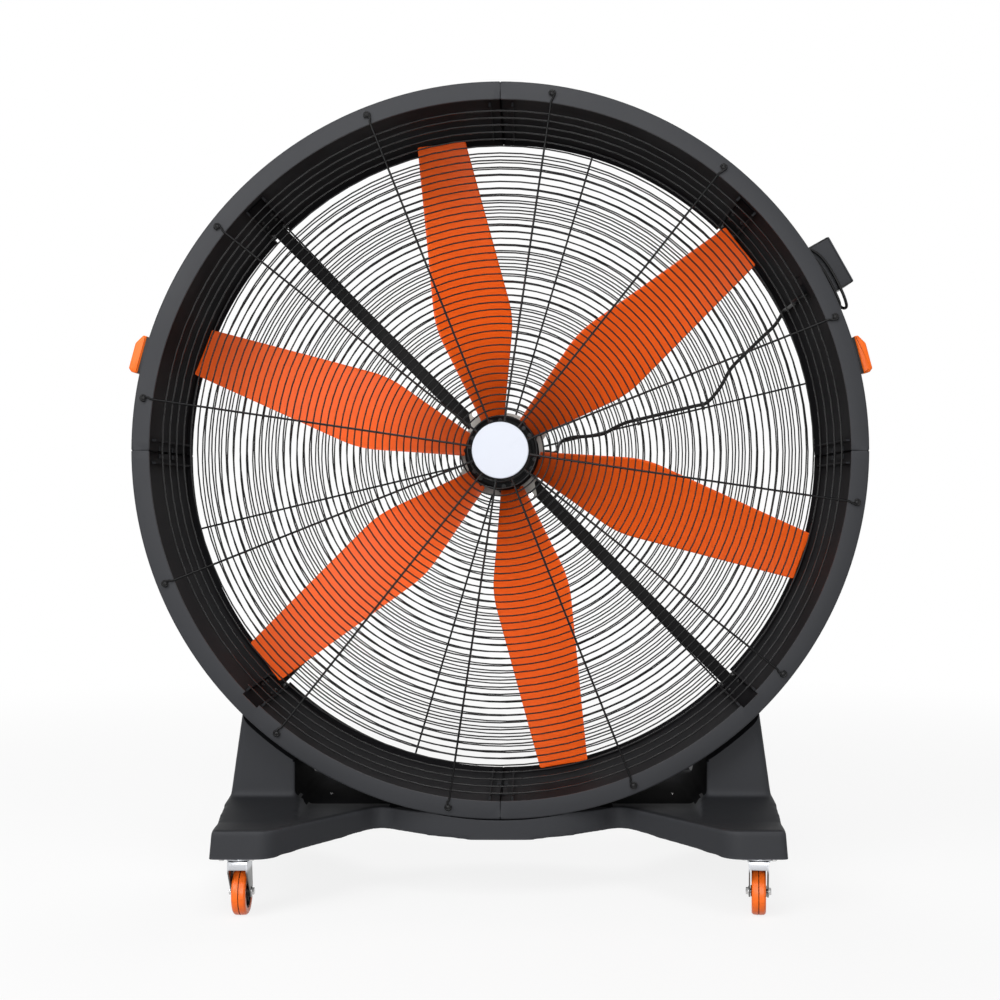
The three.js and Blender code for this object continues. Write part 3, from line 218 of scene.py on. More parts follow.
def smooth_path(points: Sequence[Vector], step: float) -> list[Vector]:
    """Centripetal Catmull-Rom curve through points.

    Args:
        points: the points that the curve passes.
        step: distance between its samples, about.

    Returns:
        The samples, ends included.
    """
    row = [2 * points[0] - points[1], *points, 2 * points[-1] - points[-2]]
    samples = [points[0].copy()]
    for a, b, c, d in zip(row, row[1:], row[2:], row[3:]):
        t1 = max(1e-6, (b - a).length ** 0.5)
        t2 = t1 + (c - b).length ** 0.5
        t3 = t2 + max(1e-6, (d - c).length ** 0.5)
        count = max(2, round((c - b).length / step))
        for index in range(1, count + 1):
            t = mix(t1, t2, index / count)
            ab, bc = a.lerp(b, t / t1), b.lerp(c, (t - t1) / (t2 - t1))
            cd = c.lerp(d, (t - t2) / (t3 - t2))
            near, far = ab.lerp(bc, t / t2), bc.lerp(cd, (t - t1) / (t3 - t1))
            samples.append(near.lerp(far, (t - t1) / (t2 - t1)))
    return samples


def path_length(path: Sequence[Vector]) -> float:
    """Length of a row of points."""
    return sum((far - near).length for near, far in zip(path, path[1:]))


class Draft:
    """Points and faces of a piece that is being made, in millimetres."""

    def __init__(self) -> None:
        """Starts with nothing."""
        self.points: list[Vector] = []
        self.faces: list[tuple[int, ...]] = []

    def skin(self, rings: Iterable[Iterable[Vector]], closed: bool = False) -> "Draft":
        """Adds a skin over a row of rings that have the same number of points.

        Args:
            rings: the rings, each a closed loop of points.
            closed: True where the last ring meets the first, so that it has no ends.

        Returns:
            The draft itself.
        """
        loops: list[list[int]] = []
        for ring in rings:
            start = len(self.points)
            self.points.extend(ring)
            loops.append(list(range(start, len(self.points))))
        pairs = list(zip(loops, loops[1:]))
        if closed:
            pairs.append((loops[-1], loops[0]))
        else:
            self.faces.extend((tuple(reversed(loops[0])), tuple(loops[-1])))
        for low, high in pairs:
            for i in range(len(low)):
                j = (i + 1) % len(low)
                self.faces.append((low[i], low[j], high[j], high[i]))
        return self

    def lathe(
        self, profile: Outline, start: float = 0, end: float = 360, steps: int = 72, blunt: float = 0
    ) -> "Draft":
        """Adds a closed outline of (radius, y) points turned about the Y axis.

        Args:
            profile: the outline.
            start: first angle in degrees.
            end: last angle in degrees.
            steps: facets between them.
            blunt: radius that rounds the two ends of a part turn.

        Returns:
            The draft itself.
        """
        whole = abs(end - start - 360) < 1e-6
        angles = [(mix(start, end, i / steps), 0.0) for i in range(steps + (0 if whole else 1))]
        if blunt:
            reach = max(radius for radius, _ in profile)
            turn = math.degrees(blunt / reach)
            angles = [(start, blunt), (start + 0.3 * turn, 0.3 * blunt), (start + turn, 0.0),
                      *angles[1:-1],
                      (end - turn, 0.0), (end - 0.3 * turn, 0.3 * blunt), (end, blunt)]
        rings = [
            [in_drum(radius, angle, 0, y) for radius, y in (inset(profile, drop) if drop else profile)]
            for angle, drop in angles
        ]
        return self.skin(rings, closed=whole)

    def tube(self, path: Sequence[Vector], radius: float, sides: int = 8) -> "Draft":
        """Adds a round wire along a path.

        Args:
            path: middle of the wire.
            radius: radius of the wire.
            sides: facets round it.

        Returns:
            The draft itself.
        """
        rings = []
        normal = (path[1] - path[0]).normalized().orthogonal().normalized()
        for i, point in enumerate(path):
            along = (path[min(i + 1, len(path) - 1)] - path[max(i - 1, 0)]).normalized()
            normal = (normal - along * normal.dot(along)).normalized()
            across = along.cross(normal)
            rings.append([
                point + radius * (normal * math.cos(turn) + across * math.sin(turn))
                for turn in (2 * math.pi * k / sides for k in range(sides))
            ])
        return self.skin(rings)

    def prism(self, outline: Outline, low: float, high: float, blunt: float = 0) -> "Draft":
        """Adds an outline drawn in X and Y, with height along Z and its ends rounded by blunt.

        Args:
            outline: the outline.
            low: lower end.
            high: upper end.
            blunt: radius that rounds both ends.

        Returns:
            The draft itself.
        """
        levels = [(low, 0.0), (high, 0.0)]
        if blunt:
            levels = [(low, blunt), (low + 0.3 * blunt, 0.3 * blunt), (low + blunt, 0.0),
                      (high - blunt, 0.0), (high - 0.3 * blunt, 0.3 * blunt), (high, blunt)]
        return self.skin(
            [Vector((u, v, z)) for u, v in (inset(outline, drop) if drop else outline)]
            for z, drop in levels
        )

    def radial(self, outline: Outline, low: float, high: float) -> "Draft":
        """Adds an outline drawn in Y and Z, with height along X."""
        return self.skin([Vector((x, u, v)) for u, v in outline] for x in (low, high))

    def axial(self, outline: Outline, low: float, high: float) -> "Draft":
        """Adds an outline drawn in X and Z, with height along Y."""
        return self.skin([Vector((u, y, v)) for u, v in outline] for y in (low, high))

    def block(self, low: Sequence[float], high: Sequence[float], corner: float = 0) -> "Draft":
        """Adds a box between two corners, with its upright edges rounded by corner."""
        sides = [(low[0], low[1]), (high[0], low[1]), (high[0], high[1]), (low[0], high[1])]
        return self.prism(rounded(sides, corner) if corner else sides, low[2], high[2])

    def join(self, other: "Draft", place: Matrix | None = None) -> "Draft":
        """Adds another draft, moved by a matrix if there is one."""
        start = len(self.points)
        self.points.extend(place @ point if place else point.copy() for point in other.points)
        self.faces.extend(tuple(index + start for index in face) for face in other.faces)
        return self

    def placed(self, place: Matrix) -> "Draft":
        """Copy of the draft, moved by a matrix."""
        return Draft().join(self, place)

    def screw(
        self, at: Vector, along: Vector, radius: float, height: float,
        head: Head = Head.HEX, washer: float = 0,
    ) -> "Draft":
        """Adds a screw head.

        Args:
            at: middle of the surface that it sits on.
            along: direction that the head stands out in.
            radius: radius of the head.
            height: height of the head over its washer.
            head: hexagon or round head.
            washer: radius of the washer under it, or 0 for none.

        Returns:
            The draft itself.
        """
        base = 1.2 if washer else 0.0
        made = Draft()
        if washer:
            made.lathe([(0, -1), (washer, -1), (washer, base - 0.4), (washer - 0.4, base), (0, base)],
                       steps=24)
        if head is Head.HEX:
            made.lathe([(0, base - 1), (radius, base - 1), (radius, base + height - 1),
                        (0.86 * radius, base + height), (0, base + height)], steps=head.value)
        else:
            arc = [(radius * math.cos(a), base + height * math.sin(a))
                   for a in (math.pi / 2 * k / 6 for k in range(7))]
            socket = [(0.34 * radius, base + 0.94 * height), (0.3 * radius, base + 0.45 * height),
                      (0, base + 0.45 * height)]
            made.lathe([(0, base - 1), (radius, base - 1), *arc[:-1], *socket], steps=head.value)
        turn = along.normalized().to_track_quat("Y", "Z").to_matrix().to_4x4()
        return self.join(made, Matrix.Translation(at) @ turn)


# ---------------------------------------------------------------------------
# Shader graphs
# ---------------------------------------------------------------------------


class Value:
    """A number that comes out of a node, with operators that add Math nodes."""

    def __init__(self, graph: "Graph", socket: bpy.types.NodeSocket) -> None:
        """Wraps an output socket of a graph."""
        self.graph = graph
        self.socket = socket

    def __add__(self, other: Number) -> "Value":
        """Sum."""
        return self.graph.maths("ADD", self, other)

    def __sub__(self, other: Number) -> "Value":
        """Difference."""
        return self.graph.maths("SUBTRACT", self, other)

    def __rsub__(self, other: Number) -> "Value":
        """Difference from a number."""
        return self.graph.maths("SUBTRACT", other, self)

    def __mul__(self, other: Number) -> "Value":
        """Product."""
        return self.graph.maths("MULTIPLY", self, other)

    __radd__ = __add__
    __rmul__ = __mul__

    def between(self, low: float, high: float) -> "Value":
        """Share, from 0 where the value is at low to 1 where it is at high, eased at both."""
        node = self.graph.node(
            "ShaderNodeMapRange", {"interpolation_type": "SMOOTHSTEP"},
            {"Value": self, "From Min": low, "From Max": high})
        return Value(self.graph, node.outputs["Result"])


class Graph:
    """Node tree of one material or of the world."""

    def __init__(self, owner: bpy.types.Material | bpy.types.World) -> None:
        """Empties the tree of its owner."""
        self.owner = owner
        owner.use_nodes = True
        self.tree = owner.node_tree
        self.tree.nodes.clear()

    def node(
        self, kind: str, settings: Mapping[str, Any] | None = None,
        inputs: Mapping[str | int, Any] | None = None,
    ) -> bpy.types.Node:
        """Adds any node.

        Args:
            kind: the node's type.
            settings: its own settings, set first, such as an operation.
            inputs: values or links of its sockets, by name or number.

        Returns:
            The node.
        """
        made = self.tree.nodes.new(kind)
        for key, value in (settings or {}).items():
            setattr(made, key, value)
        for key, value in (inputs or {}).items():
            if isinstance(value, Value):
                self.tree.links.new(value.socket, made.inputs[key])
            elif isinstance(value, bpy.types.NodeSocket):
                self.tree.links.new(value, made.inputs[key])
            else:
                made.inputs[key].default_value = value
        return made

    def maths(self, operation: str, first: Number, second: Number) -> Value:
        """Math node on two numbers."""
        made = self.node("ShaderNodeMath", {"operation": operation}, {0: first, 1: second})
        return Value(self, made.outputs[0])

    def place(self, stretch: Sequence[float] = (1, 1, 1)) -> bpy.types.NodeSocket:
        """The piece's own coordinates in metres, stretched along each axis."""
        own = self.node("ShaderNodeTexCoord").outputs["Object"]
        if tuple(stretch) == (1, 1, 1):
            return own
        return self.node(
            "ShaderNodeVectorMath", {"operation": "MULTIPLY"}, {0: own, 1: tuple(stretch)}).outputs[0]

    def noise(
        self, scale: float, detail: float = 2, stretch: Sequence[float] = (1, 1, 1),
        vector: bpy.types.NodeSocket | None = None,
    ) -> Value:
        """Noise from 0 to 1, with scale in lumps per metre."""
        made = self.node("ShaderNodeTexNoise", None, {
            "Vector": vector or self.place(stretch), "Scale": scale, "Detail": detail})
        return Value(self, made.outputs["Fac"])

    def axis_distance(self) -> Value:
        """Distance from the fan axis."""
        own = self.node("ShaderNodeVectorMath", {"operation": "SUBTRACT"},
                        {0: self.place(), 1: (0, 0, AXIS_HEIGHT * MM)}).outputs[0]
        flat = self.node("ShaderNodeVectorMath", {"operation": "MULTIPLY"}, {0: own, 1: (1, 0, 1)})
        size = self.node("ShaderNodeVectorMath", {"operation": "LENGTH"}, {0: flat.outputs[0]})
        return Value(self, size.outputs["Value"])

    def upward(self, source: bpy.types.NodeSocket) -> Value:
        """Vertical part of a vector."""
        return Value(self, self.node("ShaderNodeSeparateXYZ", None, {0: source}).outputs["Z"])

    def convexity(self) -> Value:
        """Share that rises along outer edges."""
        return Value(self, self.node("ShaderNodeNewGeometry").outputs["Pointiness"]).between(0.505, 0.58)

    def tint(self, factor: Number, low: Any, high: Any) -> bpy.types.NodeSocket:
        """Colour between two colours or colour sockets."""
        made = self.node("ShaderNodeMix", {"data_type": "RGBA"}, {0: factor, 6: low, 7: high})
        return made.outputs[2]

    def finish(self, inputs: Mapping[str, Any], height: Value | None, depth: float) -> bpy.types.Material:
        """Adds the surface shader.

        Args:
            inputs: values or links of its sockets.
            height: relief from 0 to 1, or None for none.
            depth: how deep the relief is, in metres.

        Returns:
            The material.
        """
        surface = dict(inputs)
        if height is not None:
            bump = self.node("ShaderNodeBump", None, {"Height": height, "Distance": depth, "Strength": 1.0})
            surface["Normal"] = bump.outputs["Normal"]
        shader = self.node("ShaderNodeBsdfPrincipled", None, surface)
        self.node("ShaderNodeOutputMaterial", None, {"Surface": shader.outputs[0]})
        return self.owner


def linear(colour: Sequence[int], factor: float = 1.0) -> tuple[float, float, float, float]:
    """Screen colour from 0 to 255 as a linear colour, times a factor."""
    parts = (c / 255 for c in colour)
    red, green, blue = (c / 12.92 if c <= 0.04045 else ((c + 0.055) / 1.055) ** 2.4 for c in parts)
    return (min(1, red * factor), min(1, green * factor), min(1, blue * factor), 1.0)


# ---------------------------------------------------------------------------
# Finishes
# ---------------------------------------------------------------------------


class Slot(Enum):
    """Material slots of the record."""

    SHELL = "shell_plastic"
    BLACK = "black_plastic"
    BLADE = "orange_blade"
    GRIP = "orange_grip"
    WIRE = "guard_wire"
    STEEL = "black_steel"
    HUB = "hub_metal"
    BADGE = "badge_white"
    MOTOR = "motor_grey"
    BRIGHT = "bright_steel"
    CORE = "core_steel"
    CABLE = "cable_black"
    ZINC = "zinc"
    TYRE = "orange_tyre"
    WHEEL = "wheel_core"


@dataclass(frozen=True)
class Finish:
    """Moulded or painted surface with slow mottling, a fine grain, and edges lightened by wear and a painted
    highlight.

    The colour drifts by the share mottle over patches, of which there are patch to a metre. The
    grain has grain lumps to a metre and is relief metres deep.
    """

    slot: Slot
    colour: tuple[int, int, int]
    roughness: float
    metallic: float = 0.0
    specular: float = 0.5
    mottle: float = 0.06
    patch: float = 6.0
    grain: float = 900.0
    relief: float = 0.00012
    edge: float = 0.3

    def relief_of(self, graph: Graph) -> Value:
        """Height of the surface from 0 to 1."""
        return graph.noise(self.grain, 3)

    def mottled(self, graph: Graph, patches: Value) -> bpy.types.NodeSocket:
        """Colour that drifts over the patches."""
        return graph.tint(
            patches, linear(self.colour, 1 - self.mottle), linear(self.colour, 1 + self.mottle))

    def colour_of(self, graph: Graph, patches: Value) -> bpy.types.NodeSocket:
        """Colour of the surface, with wear and a painted highlight lightening its convex edges."""
        body = self.mottled(graph, patches)
        # Painted highlight with wear: convex edges blend towards a lighter copy of the colour.
        return graph.tint(graph.convexity() * self.edge, body, linear(self.colour, 2.2))

    def roughness_of(self, patches: Value, height: Value) -> Value:
        """Roughness of the surface."""
        return patches * 0.1 + height * 0.06 + (self.roughness - 0.08)

    def material(self) -> bpy.types.Material:
        """Builds the material."""
        graph = Graph(bpy.data.materials.new(self.slot.value))
        patches = graph.noise(self.patch, 4).between(0.3, 0.7)
        height = self.relief_of(graph)
        return graph.finish({
            "Base Color": self.colour_of(graph, patches),
            "Roughness": self.roughness_of(patches, height),
            "Metallic": self.metallic, "Specular IOR Level": self.specular,
        }, height, self.relief)


@dataclass(frozen=True)
class BladeFinish(Finish):
    """Glossy moulded blade: flow lines run out from the hub, and painted shade darkens the root."""

    def relief_of(self, graph: Graph) -> Value:
        """Faint ripples of the moulding over a fine grain."""
        return graph.noise(9, 2) * 0.8 + graph.noise(self.grain, 2) * 0.2

    def colour_of(self, graph: Graph, patches: Value) -> bpy.types.NodeSocket:
        """Orange darkened towards the hub by painted shade."""
        body = self.mottled(graph, patches)
        # Painted shade, deepest at the hub and gone by 0.34 m out.
        root = 1 - graph.axis_distance().between(0.085, 0.34)
        return graph.tint(root * 0.75, body, linear(self.colour, 0.36))


@dataclass(frozen=True)
class TurnedFinish(Finish):
    """Metal with fine turning marks about the fan axis."""

    def relief_of(self, graph: Graph) -> Value:
        """Rings that the tool left."""
        distance = graph.axis_distance() * self.grain
        ring = graph.node("ShaderNodeCombineXYZ", None, {"X": distance}).outputs[0]
        return graph.noise(1, 2, vector=ring)


@dataclass(frozen=True)
class CastFinish(Finish):
    """Coarse cast or sprayed metal with small pits."""

    def relief_of(self, graph: Graph) -> Value:
        """Lumps with pits between them."""
        pits = graph.node("ShaderNodeTexVoronoi", None, {"Vector": graph.place(), "Scale": self.grain / 3})
        return graph.noise(self.grain, 4) * 0.7 + Value(graph, pits.outputs["Distance"]) * 0.5


@dataclass(frozen=True)
class SpangledZinc(Finish):
    """Bright zinc plate with faint crystals and a few dull spots."""

    def colour_of(self, graph: Graph, patches: Value) -> bpy.types.NodeSocket:
        """Crystals of slightly different brightness."""
        cells = graph.node("ShaderNodeTexVoronoi", None, {"Vector": graph.place(), "Scale": 160.0})
        crystal = Value(graph, cells.outputs["Distance"]).between(0.0, 0.9)
        body = graph.tint(crystal, linear(self.colour, 1.08), linear(self.colour, 0.86))
        return graph.tint(patches * 0.25, body, linear(self.colour, 0.6))


@dataclass(frozen=True)
class DeckFinish(Finish):
    """Moulded shell with painted shade that darkens its upper faces against its sides."""

    shade: float = 0.5

    def colour_of(self, graph: Graph, patches: Value) -> bpy.types.NodeSocket:
        """Shell colour, with painted shade on what faces up."""
        body = super().colour_of(graph, patches)
        up = graph.upward(graph.node("ShaderNodeNewGeometry").outputs["True Normal"])
        # Painted shade: faces that look up blend towards a darker copy of the shell colour.
        return graph.tint(up.between(0.6, 0.97), body, linear(self.colour, self.shade))


@dataclass(frozen=True)
class YokeFinish(Finish):
    """Pressed zinc plate: a darker copy of zinc paints the dark reflections down the legs, and a painted
    highlight brightens the crown.
    """

    def colour_of(self, graph: Graph, patches: Value) -> bpy.types.NodeSocket:
        """Zinc with a painted highlight towards the crown."""
        body = self.mottled(graph, patches)
        # Painted highlight: the colour brightens where the crown stands, 0.1 to 0.114 m up.
        return graph.tint(graph.upward(graph.place()).between(0.1, 0.114), body, linear((204, 206, 210)))


@dataclass(frozen=True)
class TyreFinish(Finish):
    """Cast elastomer tyre with scuffs on its tread."""

    def colour_of(self, graph: Graph, patches: Value) -> bpy.types.NodeSocket:
        """Orange with darker scuffs."""
        body = self.mottled(graph, patches)
        scuffs = graph.noise(60, 5, (1, 1, 3)).between(0.6, 0.75)
        return graph.tint(scuffs * 0.3, body, linear(self.colour, 0.45))


@dataclass(frozen=True)
class WindingFinish(Finish):
    """Copper windings between steel sheets."""

    def relief_of(self, graph: Graph) -> Value:
        """Strands of wire."""
        waves = graph.node("ShaderNodeTexWave", {"bands_direction": "Y"},
                           {"Vector": graph.place(), "Scale": self.grain, "Distortion": 1.5})
        return Value(graph, waves.outputs["Fac"])


SHELL = Finish(Slot.SHELL, (48, 49, 52), 0.55, specular=0.2, mottle=0.05, relief=0.00009, edge=0.0)
# Darker, low-sheen copy of the shell plastic: painted shade inside the drum, in its seam grooves and on the
# lead window plate.
INSIDE_SHADE = Finish(Slot.SHELL, (25, 25, 27), 0.85, specular=0.05, mottle=0.1, relief=0.00012, edge=0.0)
SHADED = Finish(Slot.SHELL, (15, 15, 17), 0.9, specular=0.03, mottle=0.1, relief=0.00012, edge=0.0)
DECK = DeckFinish(Slot.SHELL, (48, 49, 52), 0.6, specular=0.15, mottle=0.05, relief=0.00012, edge=0.35)
BLACK = Finish(Slot.BLACK, (17, 17, 18), 0.42, specular=0.25, relief=0.00008, edge=0.25)
BLADE = BladeFinish(Slot.BLADE, (255, 96, 14), 0.4, specular=0.25, mottle=0.05, patch=3, relief=0.0006)
GRIP = Finish(Slot.GRIP, (240, 104, 24), 0.4, specular=0.3, relief=0.0001, edge=0.2)
WIRE = Finish(Slot.WIRE, (10, 10, 11), 0.24, specular=0.15, relief=0.00005, edge=0.0, mottle=0.1)
STEEL = Finish(Slot.STEEL, (10, 10, 11), 0.5, specular=0.1, relief=0.00008, edge=0.2, grain=1400)
HUB = CastFinish(Slot.HUB, (10, 10, 11), 0.5, specular=0.07, relief=0.00012)
BADGE = Finish(Slot.BADGE, (200, 204, 214), 0.3, specular=0.3, mottle=0.01, relief=0.00003, edge=0.0)
MOTOR = CastFinish(Slot.MOTOR, (176, 176, 171), 0.5, relief=0.00018)
BRIGHT = TurnedFinish(Slot.BRIGHT, (176, 176, 176), 0.26, metallic=0.95, grain=1500, relief=0.00003)
CORE = TurnedFinish(Slot.CORE, (120, 118, 116), 0.4, metallic=0.8, grain=900, relief=0.00005)
COPPER = WindingFinish(Slot.CORE, (170, 96, 52), 0.35, metallic=0.8, grain=180, relief=0.0004)
CABLE = Finish(Slot.CABLE, (12, 12, 13), 0.5, specular=0.2, relief=0.00006, edge=0.0, grain=1500)
ZINC = SpangledZinc(Slot.ZINC, (190, 192, 196), 0.28, metallic=0.92, relief=0.00004, patch=25)
# Darker copy of the zinc colour: painted reflection of dark surroundings on the fork legs.
YOKE = YokeFinish(Slot.ZINC, (104, 104, 102), 0.34, metallic=0.9, relief=0.00005, patch=25)
# Darker copy of the tyre colour: painted shade in the tyre's centre groove.
PARTING_SHADE = Finish(Slot.TYRE, (92, 40, 16), 0.6, specular=0.2, relief=0.0001)
TYRE = TyreFinish(Slot.TYRE, (255, 112, 30), 0.36, specular=0.4, relief=0.0001, patch=14)
WHEEL = Finish(Slot.WHEEL, (24, 24, 26), 0.5, specular=0.25, relief=0.0001)


# ---------------------------------------------------------------------------
# Workshop
# ---------------------------------------------------------------------------


class Workshop:
    """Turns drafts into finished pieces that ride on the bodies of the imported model."""

    def __init__(self, frame: Mapping[str, Any]) -> None:
        """Keeps the frame and the materials that were made."""
        self.frame = frame
        self.materials: dict[Finish, bpy.types.Material] = {}

    def material(self, finish: Finish) -> bpy.types.Material:
        """Material of a finish, built once."""
        if finish not in self.materials:
            self.materials[finish] = finish.material()
        return self.materials[finish]

    @staticmethod
    def solid(name: str, draft: Draft) -> bpy.types.Object:
        """Object in metres with merged points and outward faces.

        Args:
            name: name of the object.
            draft: its shape in millimetres.

        Returns:
            The object, linked to the scene.
        """
        mesh = bpy.data.meshes.new(name)
        mesh.from_pydata([point * MM for point in draft.points], [], draft.faces)
        work = bmesh.new()
        work.from_mesh(mesh)
        bmesh.ops.remove_doubles(work, verts=work.verts, dist=4e-6)
        bmesh.ops.dissolve_degenerate(work, edges=work.edges, dist=1e-7)
        bmesh.ops.recalc_face_normals(work, faces=work.faces)
        work.to_mesh(mesh)
        work.free()
        obj = bpy.data.objects.new(name, mesh)
        bpy.context.scene.collection.objects.link(obj)
        return obj

    @staticmethod
    def modify(obj: bpy.types.Object, kind: str, settings: Mapping[str, Any]) -> None:
        """Adds a modifier and applies it at once.

        Args:
            obj: the object.
            kind: type of the modifier.
            settings: its settings.
        """
        modifier = obj.modifiers.new(kind.lower(), kind)
        for key, value in settings.items():
            setattr(modifier, key, value)
        graph = bpy.context.evaluated_depsgraph_get()
        mesh = bpy.data.meshes.new_from_object(obj.evaluated_get(graph))
        obj.modifiers.clear()
        old, obj.data = obj.data, mesh
        bpy.data.meshes.remove(old)

    def merge(self, obj: bpy.types.Object, tool: bpy.types.Object, operation: Operation) -> None:
        """Joins a solid to another or cuts it away, and removes it."""
        self.modify(obj, "BOOLEAN", {
            "operation": operation.value, "solver": "MANIFOLD", "object": tool})
        bpy.data.objects.remove(tool)

    def combine(self, obj: bpy.types.Object, draft: Draft, operation: Operation) -> None:
        """Joins a draft to a solid or cuts it away."""
        self.merge(obj, self.solid(obj.name + "_tool", draft), operation)

    @staticmethod
    def move(obj: bpy.types.Object, place: Matrix) -> None:
        """Moves the mesh of a piece by a matrix in millimetres."""
        small = Matrix.Scale(MM, 4)
        obj.data.transform(small @ place @ small.inverted())

    def soften(self, obj: bpy.types.Object, width: float, segments: int = 2) -> None:
        """Rounds the sharp edges of a piece by a width in millimetres."""
        self.modify(obj, "BEVEL", {
            "width": width * MM, "segments": segments, "limit_method": "ANGLE",
            "angle_limit": math.radians(32), "miter_outer": "MITER_ARC"})

    def dress(
        self, obj: bpy.types.Object, finish: Finish, body: str = "root",
        replaces: Sequence[str] = (), sharp: float = 38,
    ) -> bpy.types.Object:
        """Gives a piece its finish and its body.

        Args:
            obj: the piece.
            finish: its finish.
            body: the body that it moves with.
            replaces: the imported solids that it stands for.
            sharp: edges that bend more than this many degrees stay sharp.

        Returns:
            The piece.
        """
        obj.data.shade_smooth()
        obj.data.set_sharp_from_angle(angle=math.radians(sharp))
        obj.data.materials.clear()
        obj.data.materials.append(self.material(finish))
        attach(obj, body)
        if replaces:
            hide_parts(*replaces)
        LOG.info("%s: %s on %s, %d faces", obj.name, finish.slot.value, body, len(obj.data.polygons))
        return obj

    def make(
        self, name: str, draft: Draft, finish: Finish, body: str = "root",
        replaces: Sequence[str] = (), bevel: float = 0, sharp: float = 38,
    ) -> bpy.types.Object:
        """Makes a whole piece from a draft.

        Args:
            name: name of the piece.
            draft: its shape.
            finish: its finish.
            body: the body that it moves with.
            replaces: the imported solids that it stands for.
            bevel: radius of its edges in millimetres, or 0 to leave them.
            sharp: edges that bend more than this many degrees stay sharp.

        Returns:
            The piece.
        """
        obj = self.solid(name, draft)
        if bevel:
            self.soften(obj, bevel)
        return self.dress(obj, finish, body, replaces, sharp)

    def line(
        self, obj: bpy.types.Object, finish: Finish, inside: Callable[[Vector, Vector], bool],
    ) -> None:
        """Gives a second finish to some faces of a piece.

        Args:
            obj: the piece.
            finish: the second finish.
            inside: says of a face's middle, in metres, and its normal whether it gets that finish.
        """
        obj.data.materials.append(self.material(finish))
        last = len(obj.data.materials) - 1
        for face in obj.data.polygons:
            if inside(face.center, face.normal):
                face.material_index = last

    def split(self, obj: bpy.types.Object, at: Vector, normal: Vector) -> None:
        """Cuts the faces of a piece along a plane, so that a finish can end there.

        Args:
            obj: the piece.
            at: a point of the plane, in millimetres.
            normal: the plane's normal.
        """
        mesh = bmesh.new()
        mesh.from_mesh(obj.data)
        geometry = [*mesh.verts, *mesh.edges, *mesh.faces]
        bmesh.ops.bisect_plane(mesh, geom=geometry, dist=1e-6, plane_co=at * MM, plane_no=normal)
        mesh.to_mesh(obj.data)
        mesh.free()

    def keep(self, finish: Finish, *nodes: str) -> None:
        """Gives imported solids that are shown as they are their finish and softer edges.

        Args:
            finish: their finish.
            nodes: names of the solids.
        """
        for node in nodes:
            obj = self.frame["nodes"][node]
            obj.data.materials.clear()
            obj.data.materials.append(self.material(finish))
            modifier = obj.modifiers.new("edges", "BEVEL")
            modifier.width = 0.5 * MM
            modifier.limit_method = "ANGLE"
            modifier.angle_limit = math.radians(40)
            LOG.info("%s: kept, %s", node, finish.slot.value)


# ---------------------------------------------------------------------------
# Drum
# ---------------------------------------------------------------------------


